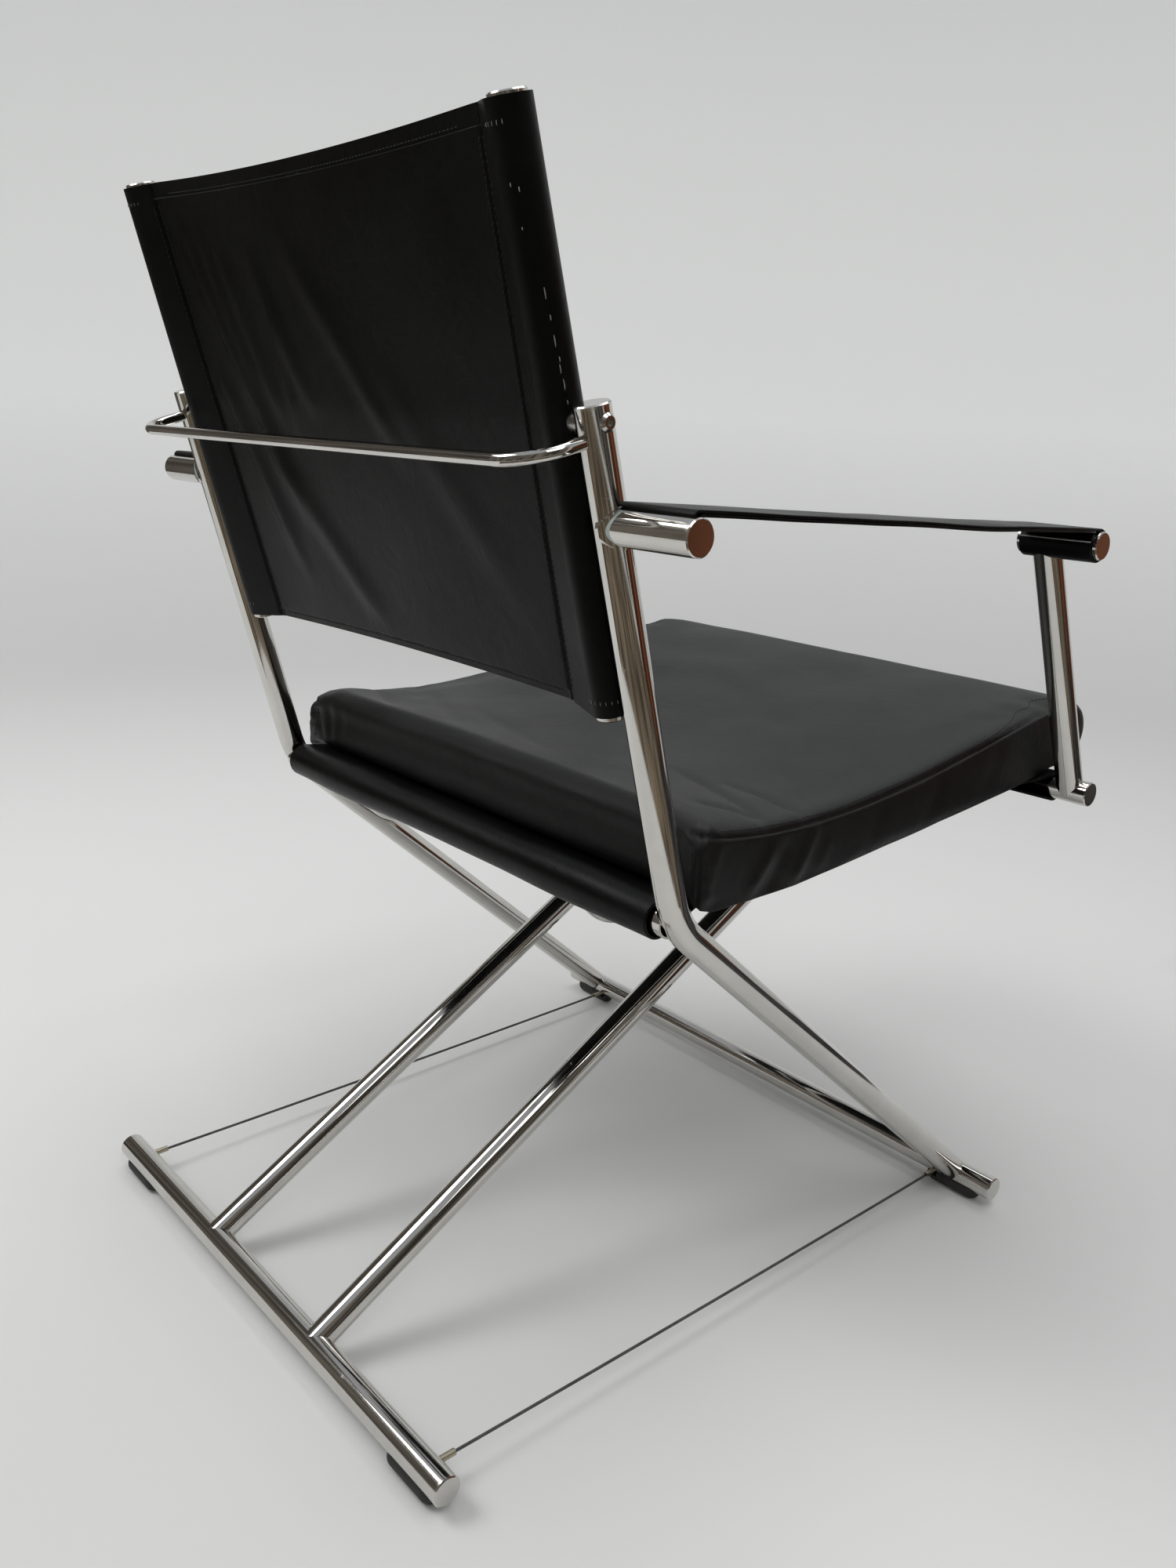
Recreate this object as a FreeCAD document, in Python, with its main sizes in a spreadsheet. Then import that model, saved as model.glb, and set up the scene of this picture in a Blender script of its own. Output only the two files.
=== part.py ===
import FreeCAD, Part
import math
import os
import re
import Sketcher

# Folding campaign armchair: two crossed frames of polished tube, a leather sling
# seat with a loose cushion, leather arm straps and a leather back on a pivot.
# Millimetres. +Z is up, the front of the chair is -Y, the sitter's left is +X.

V = FreeCAD.Vector
doc = FreeCAD.newDocument("CampaignChair")
dims = doc.addObject("Spreadsheet::Sheet", "Dims")

DIMENSIONS = (
    ("tube_radius", 11.0, "outer radius of the frame tubes"),
    ("tube_wall", 1.5, "wall of the frame tubes"),
    ("side_x", 256.0, "axis of each bent side tube from the centre"),
    ("front_foot_y", -225.6, "front foot bar, axis"),
    ("pad_height", 7.0, "foot bars above the floor"),
    ("front_foot_over", 42.5, "front foot bar past the side tube's axis, over the cap"),
    ("rear_foot_y", 367.6, "rear foot bar, axis"),
    ("rear_foot_over", 1.0, "rear foot bar past the side tube's axis, over the cap"),
    ("seat_axis_y", 185.1, "rear seat bar, axis of the fold"),
    ("seat_axis_z", 373.4, "rear seat bar, axis of the fold"),
    ("seat_bar_short", 4.0, "rear seat bar short of the side tube's axis before it is coped"),
    ("upright_top_y", 277.6, "top of the uprights over the cap"),
    ("upright_top_z", 705.6, "top of the uprights over the cap"),
    ("bend_radius", 65.0, "bend of the side tubes"),
    ("pivot_drop", 10.46, "back pivot below the upright's top"),
    ("hoop_drop", 19.5, "hoop below the upright's top"),
    ("stub_drop", 69.66, "rear arm stub below the upright's top"),
    ("hoop_radius", 4.0, "rod of the hoop"),
    ("hoop_reach", 50.2, "hoop behind the uprights"),
    ("hoop_bend", 29.0, "corners of the hoop"),
    ("back_inset", 27.2, "axis of each back tube inside the side tube's"),
    ("back_below", 185.0, "back tube below the pivot, over the cap"),
    ("back_above", 166.0, "back tube above the pivot, over the cap"),
    ("seat_front_y", -289.5, "seat front bar, axis"),
    ("seat_front_z", 394.4, "seat front bar, axis"),
    ("seat_front_over", 19.3, "seat front bar past the post's axis, over the cap"),
    ("leg_x", 82.5, "axis of each inner leg from the centre"),
    ("post_out", 24.7, "axis of each arm post outside the side tube's"),
    ("post_radius", 11.5, "outer radius of the arm posts"),
    ("arm_front_y", -186.5, "front arm tube, axis"),
    ("arm_front_z", 617.9, "front arm tube, axis"),
    ("arm_inset", 20.3, "front arm tube inside the post's axis, over the cap"),
    ("arm_reach", 46.9, "front arm tube outside the post's axis, over the cap"),
    ("stub_over", 2.9, "rear arm stub past the strap's edge, over the cap"),
    ("stub_wall", 2.0, "wall of the rear arm stub"),
    ("boss_margin", 1.4, "chrome saddle wider than the stub"),
    ("boss_thick", 1.2, "chrome saddle on the upright"),
    ("saddle_inset", 0.6, "plastic saddle narrower than the stub"),
    ("saddle_thick", 3.0, "plastic saddle under the stub"),
    ("plug_start", 21.0, "stub plug, from the upright's axis"),
    ("plug_gap", 3.0, "stub plug short of the strap's tab"),
    ("screw_radius", 3.0, "shank of the arm screws and pivot bolts"),
    ("screw_head", 4.8, "head radius of the arm screws"),
    ("screw_head_high", 3.6, "head height of the arm screws"),
    ("screw_seat_deep", 3.2, "arm screw head seat below the upright's surface"),
    ("screw_hole_room", 0.06, "running room round the pivot bolts"),
    ("access_room", 0.4, "access hole wider than the arm screw's head"),
    ("seat_room", 0.3, "pivot bolt seat wider than its head"),
    ("bolt_head", 5.3, "head radius of the pivot bolts"),
    ("bolt_head_high", 3.3, "head height of the pivot bolts"),
    ("bolt_head_edge", 1.6, "rounding of the pivot bolt heads"),
    ("bolt_sink", 1.2, "depth of the pivot bolt seat"),
    ("bolt_end", 0.65, "pivot bolt past its nut"),
    ("socket_radius", 2.3, "hexagon socket, corner radius"),
    ("socket_deep", 2.0, "hexagon socket, depth"),
    ("nut_radius", 5.6, "pivot nut, corner radius"),
    ("nut_high", 5.0, "pivot nut"),
    ("spacer_radius", 7.0, "spacer between back tube and upright"),
    ("bush_neck", 5.0, "pivot bush neck in the back tube's wall"),
    ("bush_flange", 6.5, "pivot bush flange inside the back tube"),
    ("bush_flange_high", 4.5, "pivot bush flange thickness"),
    ("bush_start", 2.2, "pivot bush inner end from the back tube's axis"),
    ("cap_thick", 2.5, "visible disc of a tube cap"),
    ("cap_edge", 0.8, "bevel of a tube cap"),
    ("cap_plug", 5.0, "plug of a tube cap"),
    ("stub_cap_plug", 3.0, "plug of a rear arm cap"),
    ("plug_room", 0.96, "upright cap's plug clear of the pivot bolt"),
    ("pad_radius", 9.0, "rounding of the rubber foot pads"),
    ("pad_length", 55.0, "length of the rubber foot pads"),
    ("pad_flat", 0.5, "flat cut of the rubber pads at the floor"),
    ("pad_shift", 2.0, "rubber pads behind the bar's axis"),
    ("front_pad_inset", 40.5, "middle of the front pads from the bar's end"),
    ("rear_pad_inset", 35.0, "middle of the rear pads from the bar's end"),
    ("notch_room", 1.4, "notch of the front pad wider than the wire's sleeve"),
    ("wire_radius", 1.25, "floor wires"),
    ("wire_rear_inset", 25.0, "rear end of the floor wires from the bar's end"),
    ("wire_front_inset", 58.5, "front end of the floor wires from the bar's end"),
    ("wire_drop", 5.5, "front end of the floor wires below the bar's axis"),
    ("ferrule_radius", 2.6, "crimped ends of the floor wires"),
    ("ferrule_length", 12.0, "crimped ends of the floor wires"),
    ("rail_x", 150.0, "axis of each rail under the sling"),
    ("rail_radius", 8.0, "rails under the sling"),
    ("rail_wall", 1.5, "rails under the sling"),
    ("rail_rear_in", 35.1, "rear corner of the rails ahead of the rear seat bar"),
    ("rail_rear_down", 37.4, "rear corner of the rails below the rear seat bar"),
    ("rail_front_in", 74.5, "front corner of the rails behind the seat front bar"),
    ("rail_front_down", 58.4, "front corner of the rails below the seat front bar"),
    ("rail_bend", 40.0, "bends of the rails"),
    ("eye_wall", 1.6, "wall of the hinge eyes"),
    ("eye_width", 22.0, "hinge eyes"),
    ("bearing_wall", 1.0, "wall of the plastic bearings in the hinge eyes"),
    ("bearing_width", 26.0, "plastic bearings"),
    ("bearing_room", 0.05, "running room on the rear seat bar"),
    ("sling_thick", 2.4, "leather of the sling seat"),
    ("sling_arc", 1250.0, "sag radius of the sling seat"),
    ("sling_rear_room", 0.25, "rear sleeve of the sling clear of the hinge eyes"),
    ("sling_rear_inset", 14.0, "rear sleeve of the sling inside the side tube's axis"),
    ("sling_front_room", 0.4, "front sleeve of the sling clear of the bar"),
    ("sling_front_inset", 13.7, "front sleeve of the sling inside the post's axis"),
    ("slot_room", 3.0, "room round a tube that passes a sleeve"),
    ("cushion_overhang", 89.1, "front of the cushion past the seat front bar"),
    ("cushion_rear_room", 18.1, "rear of the cushion ahead of the rear seat bar"),
    ("cushion_side_over", 2.0, "side of the cushion past the side tube's axis"),
    ("cushion_rear_thick", 46.0, "side seam of the cushion at the rear"),
    ("cushion_mid_thick", 54.0, "side seam of the cushion at the middle"),
    ("cushion_front_thick", 58.0, "side seam of the cushion at the front"),
    ("cushion_crown", 4.0, "crown of the cushion"),
    ("cushion_bulge", 7.0, "bulge of the cushion's sides"),
    ("cushion_nose", 70.0, "rounding of the cushion's front"),
    ("cushion_heel", 22.0, "rounding of the cushion's rear"),
    ("cushion_corner", 30.0, "rounding of the cushion's corners in plan"),
    ("cushion_gap", 0.9, "cushion above the sling"),
    ("strap_thick", 3.6, "doubled leather of the arm straps"),
    ("strap_margin", 3.6, "arm straps short of the front arm tube's ends"),
    ("loop_thick", 1.6, "single leather round the front arm tube"),
    ("leather_gap", 0.35, "leather clear of the tube it passes"),
    ("tab_width", 29.5, "width of the strap's tab"),
    ("tab_room", 0.9, "strap's tab clear of the stub's cap"),
    ("slot_side_room", 0.5, "slot in the stub wider than the tab on each side"),
    ("slot_end_room", 0.5, "slot longer than the tab at each end"),
    ("hem_wall", 3.25, "leather round the rod in the hem"),
    ("hem_rod_radius", 2.4, "rod in the strap's hem"),
    ("hem_rise", 2.0, "hem above the stub's axis"),
    ("panel_thick", 4.0, "leather of the back panel"),
    ("sleeve_room", 0.3, "sleeve of the back panel clear of its tube"),
    ("sleeve_wall", 2.1, "leather of the back panel's sleeves"),
    ("sleeve_inset", 4.0, "leather short of the back tube's ends"),
    ("panel_dip", 4.5, "hollow of the panel's top edge"),
    ("panel_rise", 3.5, "hollow of the panel's bottom edge"),
    ("sleeve_hole_room", 1.2, "hole in the sleeve wider than the spacer"),
    ("past", 40.0, "how far a cutting piece runs past the piece it cuts"),
)

for row, (alias, value, meaning) in enumerate(DIMENSIONS, start=1):
    dims.set("A%d" % row, meaning)
    dims.set("B%d" % row, str(value))
    dims.setAlias("B%d" % row, alias)
doc.recompute()

# Sizes that follow from others: a first size, then what is added to it or taken off it.
FOLLOWS = {
    "front_foot_z": ("tube_radius", "+pad_height"),
    "rear_foot_z": ("tube_radius", "+pad_height"),
    "front_foot_half": ("side_x", "+front_foot_over"),
    "rear_foot_half": ("side_x", "+rear_foot_over"),
    "seat_bar_half": ("side_x", "-seat_bar_short"),
    "back_x": ("side_x", "-back_inset"),
    "post_x": ("side_x", "+post_out"),
    "seat_front_half": ("post_x", "+seat_front_over"),
    "arm_inner_x": ("post_x", "-arm_inset"),
    "arm_outer_x": ("post_x", "+arm_reach"),
    "strap_inner_x": ("arm_inner_x", "+strap_margin"),
    "strap_outer_x": ("arm_outer_x", "-strap_margin"),
    "stub_outer_x": ("strap_outer_x", "+stub_over"),
    "tab_outer_x": ("stub_outer_x", "-cap_thick", "-stub_cap_plug", "-tab_room"),
    "tab_inner_x": ("tab_outer_x", "-tab_width"),
    "boss_radius": ("tube_radius", "+boss_margin"),
    "saddle_radius": ("tube_radius", "-saddle_inset"),
    "plug_length": ("tab_inner_x", "-plug_gap", "-side_x", "-plug_start"),
    "screw_seat": ("tube_radius", "-screw_seat_deep"),
    "access_radius": ("screw_head", "+access_room"),
    "bolt_length": (
        "back_inset",
        "+tube_radius",
        "-bolt_sink",
        "-bush_start",
        "+leather_gap",
        "+nut_high",
        "+bolt_end",
    ),
    "upright_cap_plug": ("pivot_drop", "-cap_thick", "-screw_radius", "-plug_room"),
    "pad_axis_z": ("pad_radius", "-pad_flat"),
    "front_pad_x": ("front_foot_half", "-front_pad_inset"),
    "rear_pad_x": ("rear_foot_half", "-rear_pad_inset"),
    "pad_notch": ("ferrule_radius", "+ferrule_radius", "+notch_room", "+notch_room"),
    "wire_rear_x": ("rear_foot_half", "-wire_rear_inset"),
    "wire_front_x": ("front_foot_half", "-wire_front_inset"),
    "wire_front_z": ("front_foot_z", "-wire_drop"),
    "rail_rear_y": ("seat_axis_y", "-rail_rear_in"),
    "rail_rear_z": ("seat_axis_z", "-rail_rear_down"),
    "rail_front_y": ("seat_front_y", "+rail_front_in"),
    "rail_front_z": ("seat_front_z", "-rail_front_down"),
    "bearing_radius": ("tube_radius", "+bearing_room", "+bearing_wall"),
    "eye_radius": ("bearing_radius", "+eye_wall"),
    "sling_rear_bore": ("eye_radius", "+sling_rear_room"),
    "sling_rear_half": ("side_x", "-sling_rear_inset"),
    "sling_front_bore": ("tube_radius", "+sling_front_room"),
    "sling_front_half": ("post_x", "-sling_front_inset"),
    "cushion_front_y": ("seat_front_y", "-cushion_overhang"),
    "cushion_rear_y": ("seat_axis_y", "-cushion_rear_room"),
    "cushion_half": ("side_x", "+cushion_side_over"),
    "hem_radius": ("hem_rod_radius", "+leather_gap", "+hem_wall"),
    "sleeve_bore": ("tube_radius", "+sleeve_room"),
    "sleeve_radius": ("sleeve_bore", "+sleeve_wall"),
    "sleeve_hole": ("spacer_radius", "+sleeve_hole_room"),
}
SIDES = (("left", 1.0), ("right", -1.0))
X_AXIS = V(1, 0, 0)
nodes = {}


def size(alias):
    """A dimension: from the sheet, or worked out from those it follows."""
    if alias not in FOLLOWS:
        return float(dims.get(alias))
    first, *rest = FOLLOWS[alias]
    total = size(first)
    for part in rest:
        total += size(part[1:]) if part[0] == "+" else -size(part[1:])
    return total


def cell(alias):
    """The expression that reads a dimension."""
    return "Dims." + alias


def expand(text):
    """An expression with each size that follows from others written out in cells of the sheet."""
    def written(match):
        alias = match.group(1)
        if alias not in FOLLOWS:
            return cell(alias)
        first, *rest = FOLLOWS[alias]
        signed = [" %s %s" % (part[0], cell(part[1:])) for part in rest]
        return "(" + expand(cell(first) + "".join(signed)) + ")"

    return re.sub(r"Dims\.(\w+)", written, text)


def bind(piece, name, text):
    """Ties a property of a piece to the sheet."""
    piece.setExpression(name, expand(text))


def point(name, x=0.0):
    """Point of the side view kept in the sheet as NAME_y and NAME_z."""
    return V(x, size(name + "_y"), size(name + "_z"))


def span(first, second):
    """Expression and value of the distance between two points of the side view."""
    text = "sqrt((Dims.%s_y - Dims.%s_y)^2 + (Dims.%s_z - Dims.%s_z)^2)"
    return text % (first, second, first, second), (point(first) - point(second)).Length


def placed(base, z_axis, x_axis):
    """Placement with its Z and X along these directions."""
    z = V(z_axis).normalize()
    x = V(x_axis).normalize()
    y = z.cross(x)
    return FreeCAD.Placement(
        FreeCAD.Matrix(
            x.x, y.x, z.x, base.x, x.y, y.y, z.y, base.y, x.z, y.z, z.z, base.z, 0, 0, 0, 1
        )
    )


def along(base, axis):
    """Placement with its Z along axis."""
    return FreeCAD.Placement(base, FreeCAD.Rotation(V(0, 0, 1), axis))


def rod(name, radius, height, base, axis):
    """Round bar; radius and height are expressions."""
    piece = doc.addObject("Part::Cylinder", name)
    bind(piece, "Radius", radius)
    bind(piece, "Height", height)
    piece.Placement = along(base, axis)
    return piece


def block(name, length, width, height, placement):
    """Rectangular block; its three sizes are expressions."""
    piece = doc.addObject("Part::Box", name)
    bind(piece, "Length", length)
    bind(piece, "Width", width)
    bind(piece, "Height", height)
    piece.Placement = placement
    return piece


def cut(name, base, *tools):
    """A piece less each tool in turn."""
    for count, tool in enumerate(tools, start=1):
        last = count == len(tools)
        piece = doc.addObject("Part::Cut", name if last else "%s_cut%d" % (name, count))
        piece.Base = base
        piece.Tool = tool
        base = piece
    return base


def fuse(name, *pieces):
    """Pieces joined into one solid."""
    whole = doc.addObject("Part::MultiFuse", name)
    whole.Shapes = list(pieces)
    return whole


def common(name, first, second):
    """What two pieces share."""
    piece = doc.addObject("Part::Common", name)
    piece.Base = first
    piece.Tool = second
    return piece


def group(name, pieces):
    """Several like pieces kept as one node."""
    whole = doc.addObject("Part::Compound", name)
    whole.Links = list(pieces)
    return whole


def keep(node, piece):
    """A finished sub-part under its node name."""
    piece.Label = node
    nodes[node] = piece
    return piece


def tube(name, radius, bore, height, base, axis):
    """Round tube; radius, bore and height are expressions."""
    outer = rod(name + "_outer", radius, height, base, axis)
    inner = rod(name + "_bore", bore, height, base, axis)
    return cut(name, outer, inner)


def origin_plane(body, role):
    """One of the body's own origin planes."""
    return next(plane for plane in body.Origin.OriginFeatures if plane.Role == role)


def sketch_on(body, role, name):
    """Sketch attached to an origin plane of its body."""
    sketch = body.newObject("Sketcher::SketchObject", name)
    sketch.AttachmentSupport = [(origin_plane(body, role), "")]
    sketch.MapMode = "FlatFace"
    return sketch


def drive(sketch, constraint, text):
    """Adds a dimension to a sketch and binds it to the sheet."""
    index = sketch.addConstraint(constraint)
    bind(sketch, "Constraints[%d]" % index, text)


def turning_arc(centre, first, last):
    """Arc of a sketch round a centre, anticlockwise from first to last."""
    circle = Part.Circle(centre, V(0, 0, 1), (first - centre).Length)
    angles = [math.atan2(spot.y - centre.y, spot.x - centre.x) for spot in (first, last)]
    if angles[1] < angles[0]:
        angles[1] += 2 * math.pi
    return Part.ArcOfCircle(circle, angles[0], angles[1])


def path_sketch(body, name, runs, turns, bend):
    """Path of straight runs from the origin along Z, turning towards X at each corner.
    runs holds (expression, length), turns (expression, degrees) and bend is an alias."""
    sketch = sketch_on(body, "XZ_Plane", name)
    radius = size(bend)
    corners = [V(0, 0, 0)]
    headings = [90.0]
    for index, (text, length) in enumerate(runs):
        angle = math.radians(headings[-1])
        corners.append(corners[-1] + V(math.cos(angle), math.sin(angle), 0) * length)
        if index < len(turns):
            headings.append(headings[-1] - turns[index][1])
    trims = [0.0]
    trims += [radius * math.tan(math.radians(abs(turn[1])) / 2) for turn in turns]
    trims += [0.0]
    ends = []
    lines = []
    for index in range(len(runs)):
        way = (corners[index + 1] - corners[index]).normalize()
        start = corners[index] + way * trims[index]
        end = corners[index + 1] - way * trims[index + 1]
        ends.append((start, end, way))
        lines.append(sketch.addGeometry(Part.LineSegment(start, end), False))
    sketch.addConstraint(Sketcher.Constraint("Coincident", lines[0], 1, -1, 1))
    sketch.addConstraint(Sketcher.Constraint("Vertical", lines[0]))
    previous = None
    for index, turn in enumerate(turns):
        start = ends[index][1]
        end = ends[index + 1][0]
        way = ends[index][2]
        inward = V(way.y, -way.x, 0) if turn[1] > 0 else V(-way.y, way.x, 0)
        centre = start + inward * radius
        clockwise = turn[1] > 0
        near, far = (2, 1) if clockwise else (1, 2)
        first, last = (end, start) if clockwise else (start, end)
        arc = sketch.addGeometry(turning_arc(centre, first, last), False)
        sketch.addConstraint(Sketcher.Constraint("Tangent", lines[index], 2, arc, near))
        sketch.addConstraint(Sketcher.Constraint("Tangent", arc, far, lines[index + 1], 1))
        drive(sketch, Sketcher.Constraint("Radius", arc, radius), cell(bend))
        corner = sketch.addGeometry(Part.Point(corners[index + 1]), True)
        sketch.addConstraint(Sketcher.Constraint("PointOnObject", corner, 1, lines[index]))
        sketch.addConstraint(Sketcher.Constraint("PointOnObject", corner, 1, lines[index + 1]))
        text, length = runs[index]
        if previous is None:
            drive(sketch, Sketcher.Constraint("Distance", -1, 1, corner, 1, length), text)
        else:
            drive(sketch, Sketcher.Constraint("Distance", previous, 1, corner, 1, length), text)
        angles = " - ".join("(%s)" % each[0] for each in turns[: index + 1])
        heading = math.radians(headings[index + 1])
        drive(sketch, Sketcher.Constraint("Angle", lines[index + 1], heading), "90 deg - " + angles)
        previous = corner
    text, length = runs[-1]
    drive(sketch, Sketcher.Constraint("Distance", previous, 1, lines[-1], 2, length), text)
    return sketch


def pipe(name, radius, runs, turns, bend, placement):
    """Round rod bent along a path; radius is an expression."""
    body = doc.addObject("PartDesign::Body", name)
    path = path_sketch(body, name + "_path", runs, turns, bend)
    profile = sketch_on(body, "XY_Plane", name + "_profile")
    circle = profile.addGeometry(Part.Circle(V(0, 0, 0), V(0, 0, 1), size("tube_radius")), False)
    profile.addConstraint(Sketcher.Constraint("Coincident", circle, 3, -1, 1))
    drive(profile, Sketcher.Constraint("Radius", circle, size("tube_radius")), radius)
    sweep = body.newObject("PartDesign::AdditivePipe", name + "_sweep")
    sweep.Profile = profile
    sweep.Spine = path
    body.Tip = sweep
    body.Placement = placement
    return body


def cap(name, radius, thick, plug_radius, plug_length, edge, placement):
    """Turned disc with a plug behind it, bevelled round its rim; sizes are expressions.
    The disc stands on the local XY plane and the plug runs down from it."""
    body = doc.addObject("PartDesign::Body", name)
    sketch = sketch_on(body, "XZ_Plane", name + "_section")
    corners = (
        V(0, -10, 0),
        V(5, -10, 0),
        V(5, 0, 0),
        V(10, 0, 0),
        V(10, 2, 0),
        V(9, 3, 0),
        V(0, 3, 0),
    )
    lines = []
    for index, start in enumerate(corners):
        end = corners[(index + 1) % len(corners)]
        lines.append(sketch.addGeometry(Part.LineSegment(start, end), False))
    for index, line in enumerate(lines):
        following = lines[(index + 1) % len(lines)]
        sketch.addConstraint(Sketcher.Constraint("Coincident", line, 2, following, 1))
    plug_end, plug_side, disc_back, disc_side, bevel, disc_face, axis_line = lines
    for line in (plug_end, disc_back, disc_face):
        sketch.addConstraint(Sketcher.Constraint("Horizontal", line))
    for line in (plug_side, disc_side, axis_line):
        sketch.addConstraint(Sketcher.Constraint("Vertical", line))
    sketch.addConstraint(Sketcher.Constraint("PointOnObject", plug_end, 1, -2))
    sketch.addConstraint(Sketcher.Constraint("PointOnObject", disc_back, 1, -1))
    drive(sketch, Sketcher.Constraint("DistanceX", -1, 1, plug_side, 1, 5.0), plug_radius)
    drive(sketch, Sketcher.Constraint("DistanceX", -1, 1, disc_side, 1, 10.0), radius)
    drive(sketch, Sketcher.Constraint("DistanceY", -1, 1, disc_face, 2, 3.0), thick)
    drive(sketch, Sketcher.Constraint("DistanceY", plug_end, 1, -1, 1, 10.0), plug_length)
    drive(sketch, Sketcher.Constraint("DistanceX", bevel, 2, bevel, 1, 1.0), edge)
    drive(sketch, Sketcher.Constraint("DistanceY", bevel, 1, bevel, 2, 1.0), edge)
    turned = body.newObject("PartDesign::Revolution", name + "_turned")
    turned.Profile = sketch
    turned.ReferenceAxis = (sketch, ["V_Axis"])
    turned.Angle = 360.0
    body.Tip = turned
    body.Placement = placement
    return body


def end_caps(node, radius, plug_radius, plug_length, spots):
    """Caps at the ends of tubes; each spot is the tube's cut end and the way out of it."""
    pieces = []
    for index, (base, way) in enumerate(spots, start=1):
        name = "%s_%d" % (node, index)
        place = along(base, way)
        pieces.append(
            cap(name, radius, cell("cap_thick"), plug_radius, plug_length, cell("cap_edge"), place)
        )
    return keep(node, group(node, pieces))


TUBE = cell("tube_radius")
BORE = "Dims.tube_radius - Dims.tube_wall"
STUB_BORE = "Dims.tube_radius - Dims.stub_wall"
PAST = cell("past")
cap_thick = size("cap_thick")
tube_radius = size("tube_radius")
past = size("past")

front_foot = point("front_foot")
rear_foot = point("rear_foot")
seat_axis = point("seat_axis")
upright_top = point("upright_top")
seat_front = point("seat_front")
arm_front = point("arm_front")
leg_way = (seat_axis - front_foot).normalize()
up_way = (upright_top - seat_axis).normalize()
rear_way = V(0, up_way.z, -up_way.y)
pivot = upright_top - up_way * size("pivot_drop")
hoop_root = upright_top - up_way * size("hoop_drop")
stub = upright_top - up_way * size("stub_drop")


def at_x(base, x):
    """A point of the side view moved to x."""
    return V(x, base.y, base.z)


def cross_bar(node, base, half_alias):
    """Tube across the chair with room for a cap at each end."""
    height = "2 * (Dims.%s - Dims.cap_thick)" % half_alias
    half = size(half_alias) - cap_thick
    keep(node, tube(node, TUBE, BORE, height, at_x(base, -half), X_AXIS))


def cross_caps(node, base, half_alias):
    """The two caps of a tube across the chair."""
    half = size(half_alias) - cap_thick
    spots = [(at_x(base, half), V(1, 0, 0)), (at_x(base, -half), V(-1, 0, 0))]
    end_caps(node, TUBE, BORE, cell("cap_plug"), spots)


# Foot bars, seat front bar and their caps.
cross_bar("front_foot_bar", front_foot, "front_foot_half")
cross_caps("front_foot_caps", front_foot, "front_foot_half")
cross_bar("rear_foot_bar", rear_foot, "rear_foot_half")
cross_caps("rear_foot_caps", rear_foot, "rear_foot_half")
cross_bar("seat_front_bar", seat_front, "seat_front_half")
cross_caps("seat_bar_caps", seat_front, "seat_front_half")


def full_width_rod(name, radius, base):
    """Bar that runs right across the chair, to cut or to be cut."""
    start = at_x(base, -size("seat_front_half") - past)
    return rod(name, radius, "2 * (Dims.seat_front_half + Dims.past)", start, X_AXIS)


front_foot_solid = full_width_rod("front_foot_solid", TUBE, front_foot)
rear_foot_solid = full_width_rod("rear_foot_solid", TUBE, rear_foot)
seat_front_solid = full_width_rod("seat_front_solid", TUBE, seat_front)
pivot_hole = full_width_rod("pivot_hole", "Dims.screw_radius + Dims.screw_hole_room", pivot)
stub_hole = full_width_rod("stub_hole", "Dims.screw_radius + Dims.screw_hole_room", stub)

# Bent side tubes: front leg, bend at the seat, upright.
leg_run = span("front_foot", "seat_axis")
whole_upright = span("seat_axis", "upright_top")
upright_run = (whole_upright[0] + " - Dims.cap_thick", whole_upright[1] - cap_thick)
leg_text = "atan2(Dims.seat_axis_z - Dims.front_foot_z; Dims.seat_axis_y - Dims.front_foot_y)"
up_text = "atan2(Dims.upright_top_z - Dims.seat_axis_z; Dims.upright_top_y - Dims.seat_axis_y)"
side_turn = ("%s - %s" % (up_text, leg_text), math.degrees(leg_way.getAngle(up_way)))
side_inward = V(0, -leg_way.z, leg_way.y)
side_solids = {}
for side, sign in SIDES:
    node = "side_tube_" + side
    foot = at_x(front_foot, sign * size("side_x"))
    place = placed(foot, leg_way, side_inward)
    runs = [leg_run, upright_run]
    outer = pipe(node + "_outer", TUBE, runs, [side_turn], "bend_radius", place)
    inner = pipe(node + "_bore", BORE, runs, [side_turn], "bend_radius", place)
    side_solids[side] = outer
    outward = V(sign, 0, 0)
    head_seat = rod(
        node + "_seat",
        "Dims.bolt_head + Dims.seat_room",
        PAST,
        at_x(pivot, sign * (size("side_x") + tube_radius - size("bolt_sink"))),
        outward,
    )
    access = rod(
        node + "_access",
        cell("access_radius"),
        PAST,
        at_x(stub, sign * size("side_x")),
        V(-sign, 0, 0),
    )
    keep(node, cut(node, outer, inner, front_foot_solid, pivot_hole, stub_hole, head_seat, access))

upright_ends = []
for side, sign in SIDES:
    upright_ends.append((at_x(upright_top - up_way * cap_thick, sign * size("side_x")), up_way))
end_caps("upright_caps", TUBE, BORE, cell("upright_cap_plug"), upright_ends)

# Rear seat bar, coped between the side tubes; the seat folds about it.
seat_bar = tube(
    "rear_seat_bar_blank",
    TUBE,
    BORE,
    "2 * Dims.seat_bar_half",
    at_x(seat_axis, -size("seat_bar_half")),
    X_AXIS,
)
keep("rear_seat_bar", cut("rear_seat_bar", seat_bar, side_solids["left"], side_solids["right"]))

# Hoop behind the back, coped on the uprights.
reach = (cell("hoop_reach"), size("hoop_reach"))
square_turn = ("90 deg", 90.0)
hoop_blank = pipe(
    "back_hoop_blank",
    cell("hoop_radius"),
    [reach, ("2 * Dims.side_x", 2 * size("side_x")), reach],
    [square_turn, square_turn],
    "hoop_bend",
    placed(at_x(hoop_root, size("side_x")), rear_way, V(-1, 0, 0)),
)
keep("back_hoop", cut("back_hoop", hoop_blank, side_solids["left"], side_solids["right"]))

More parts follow.
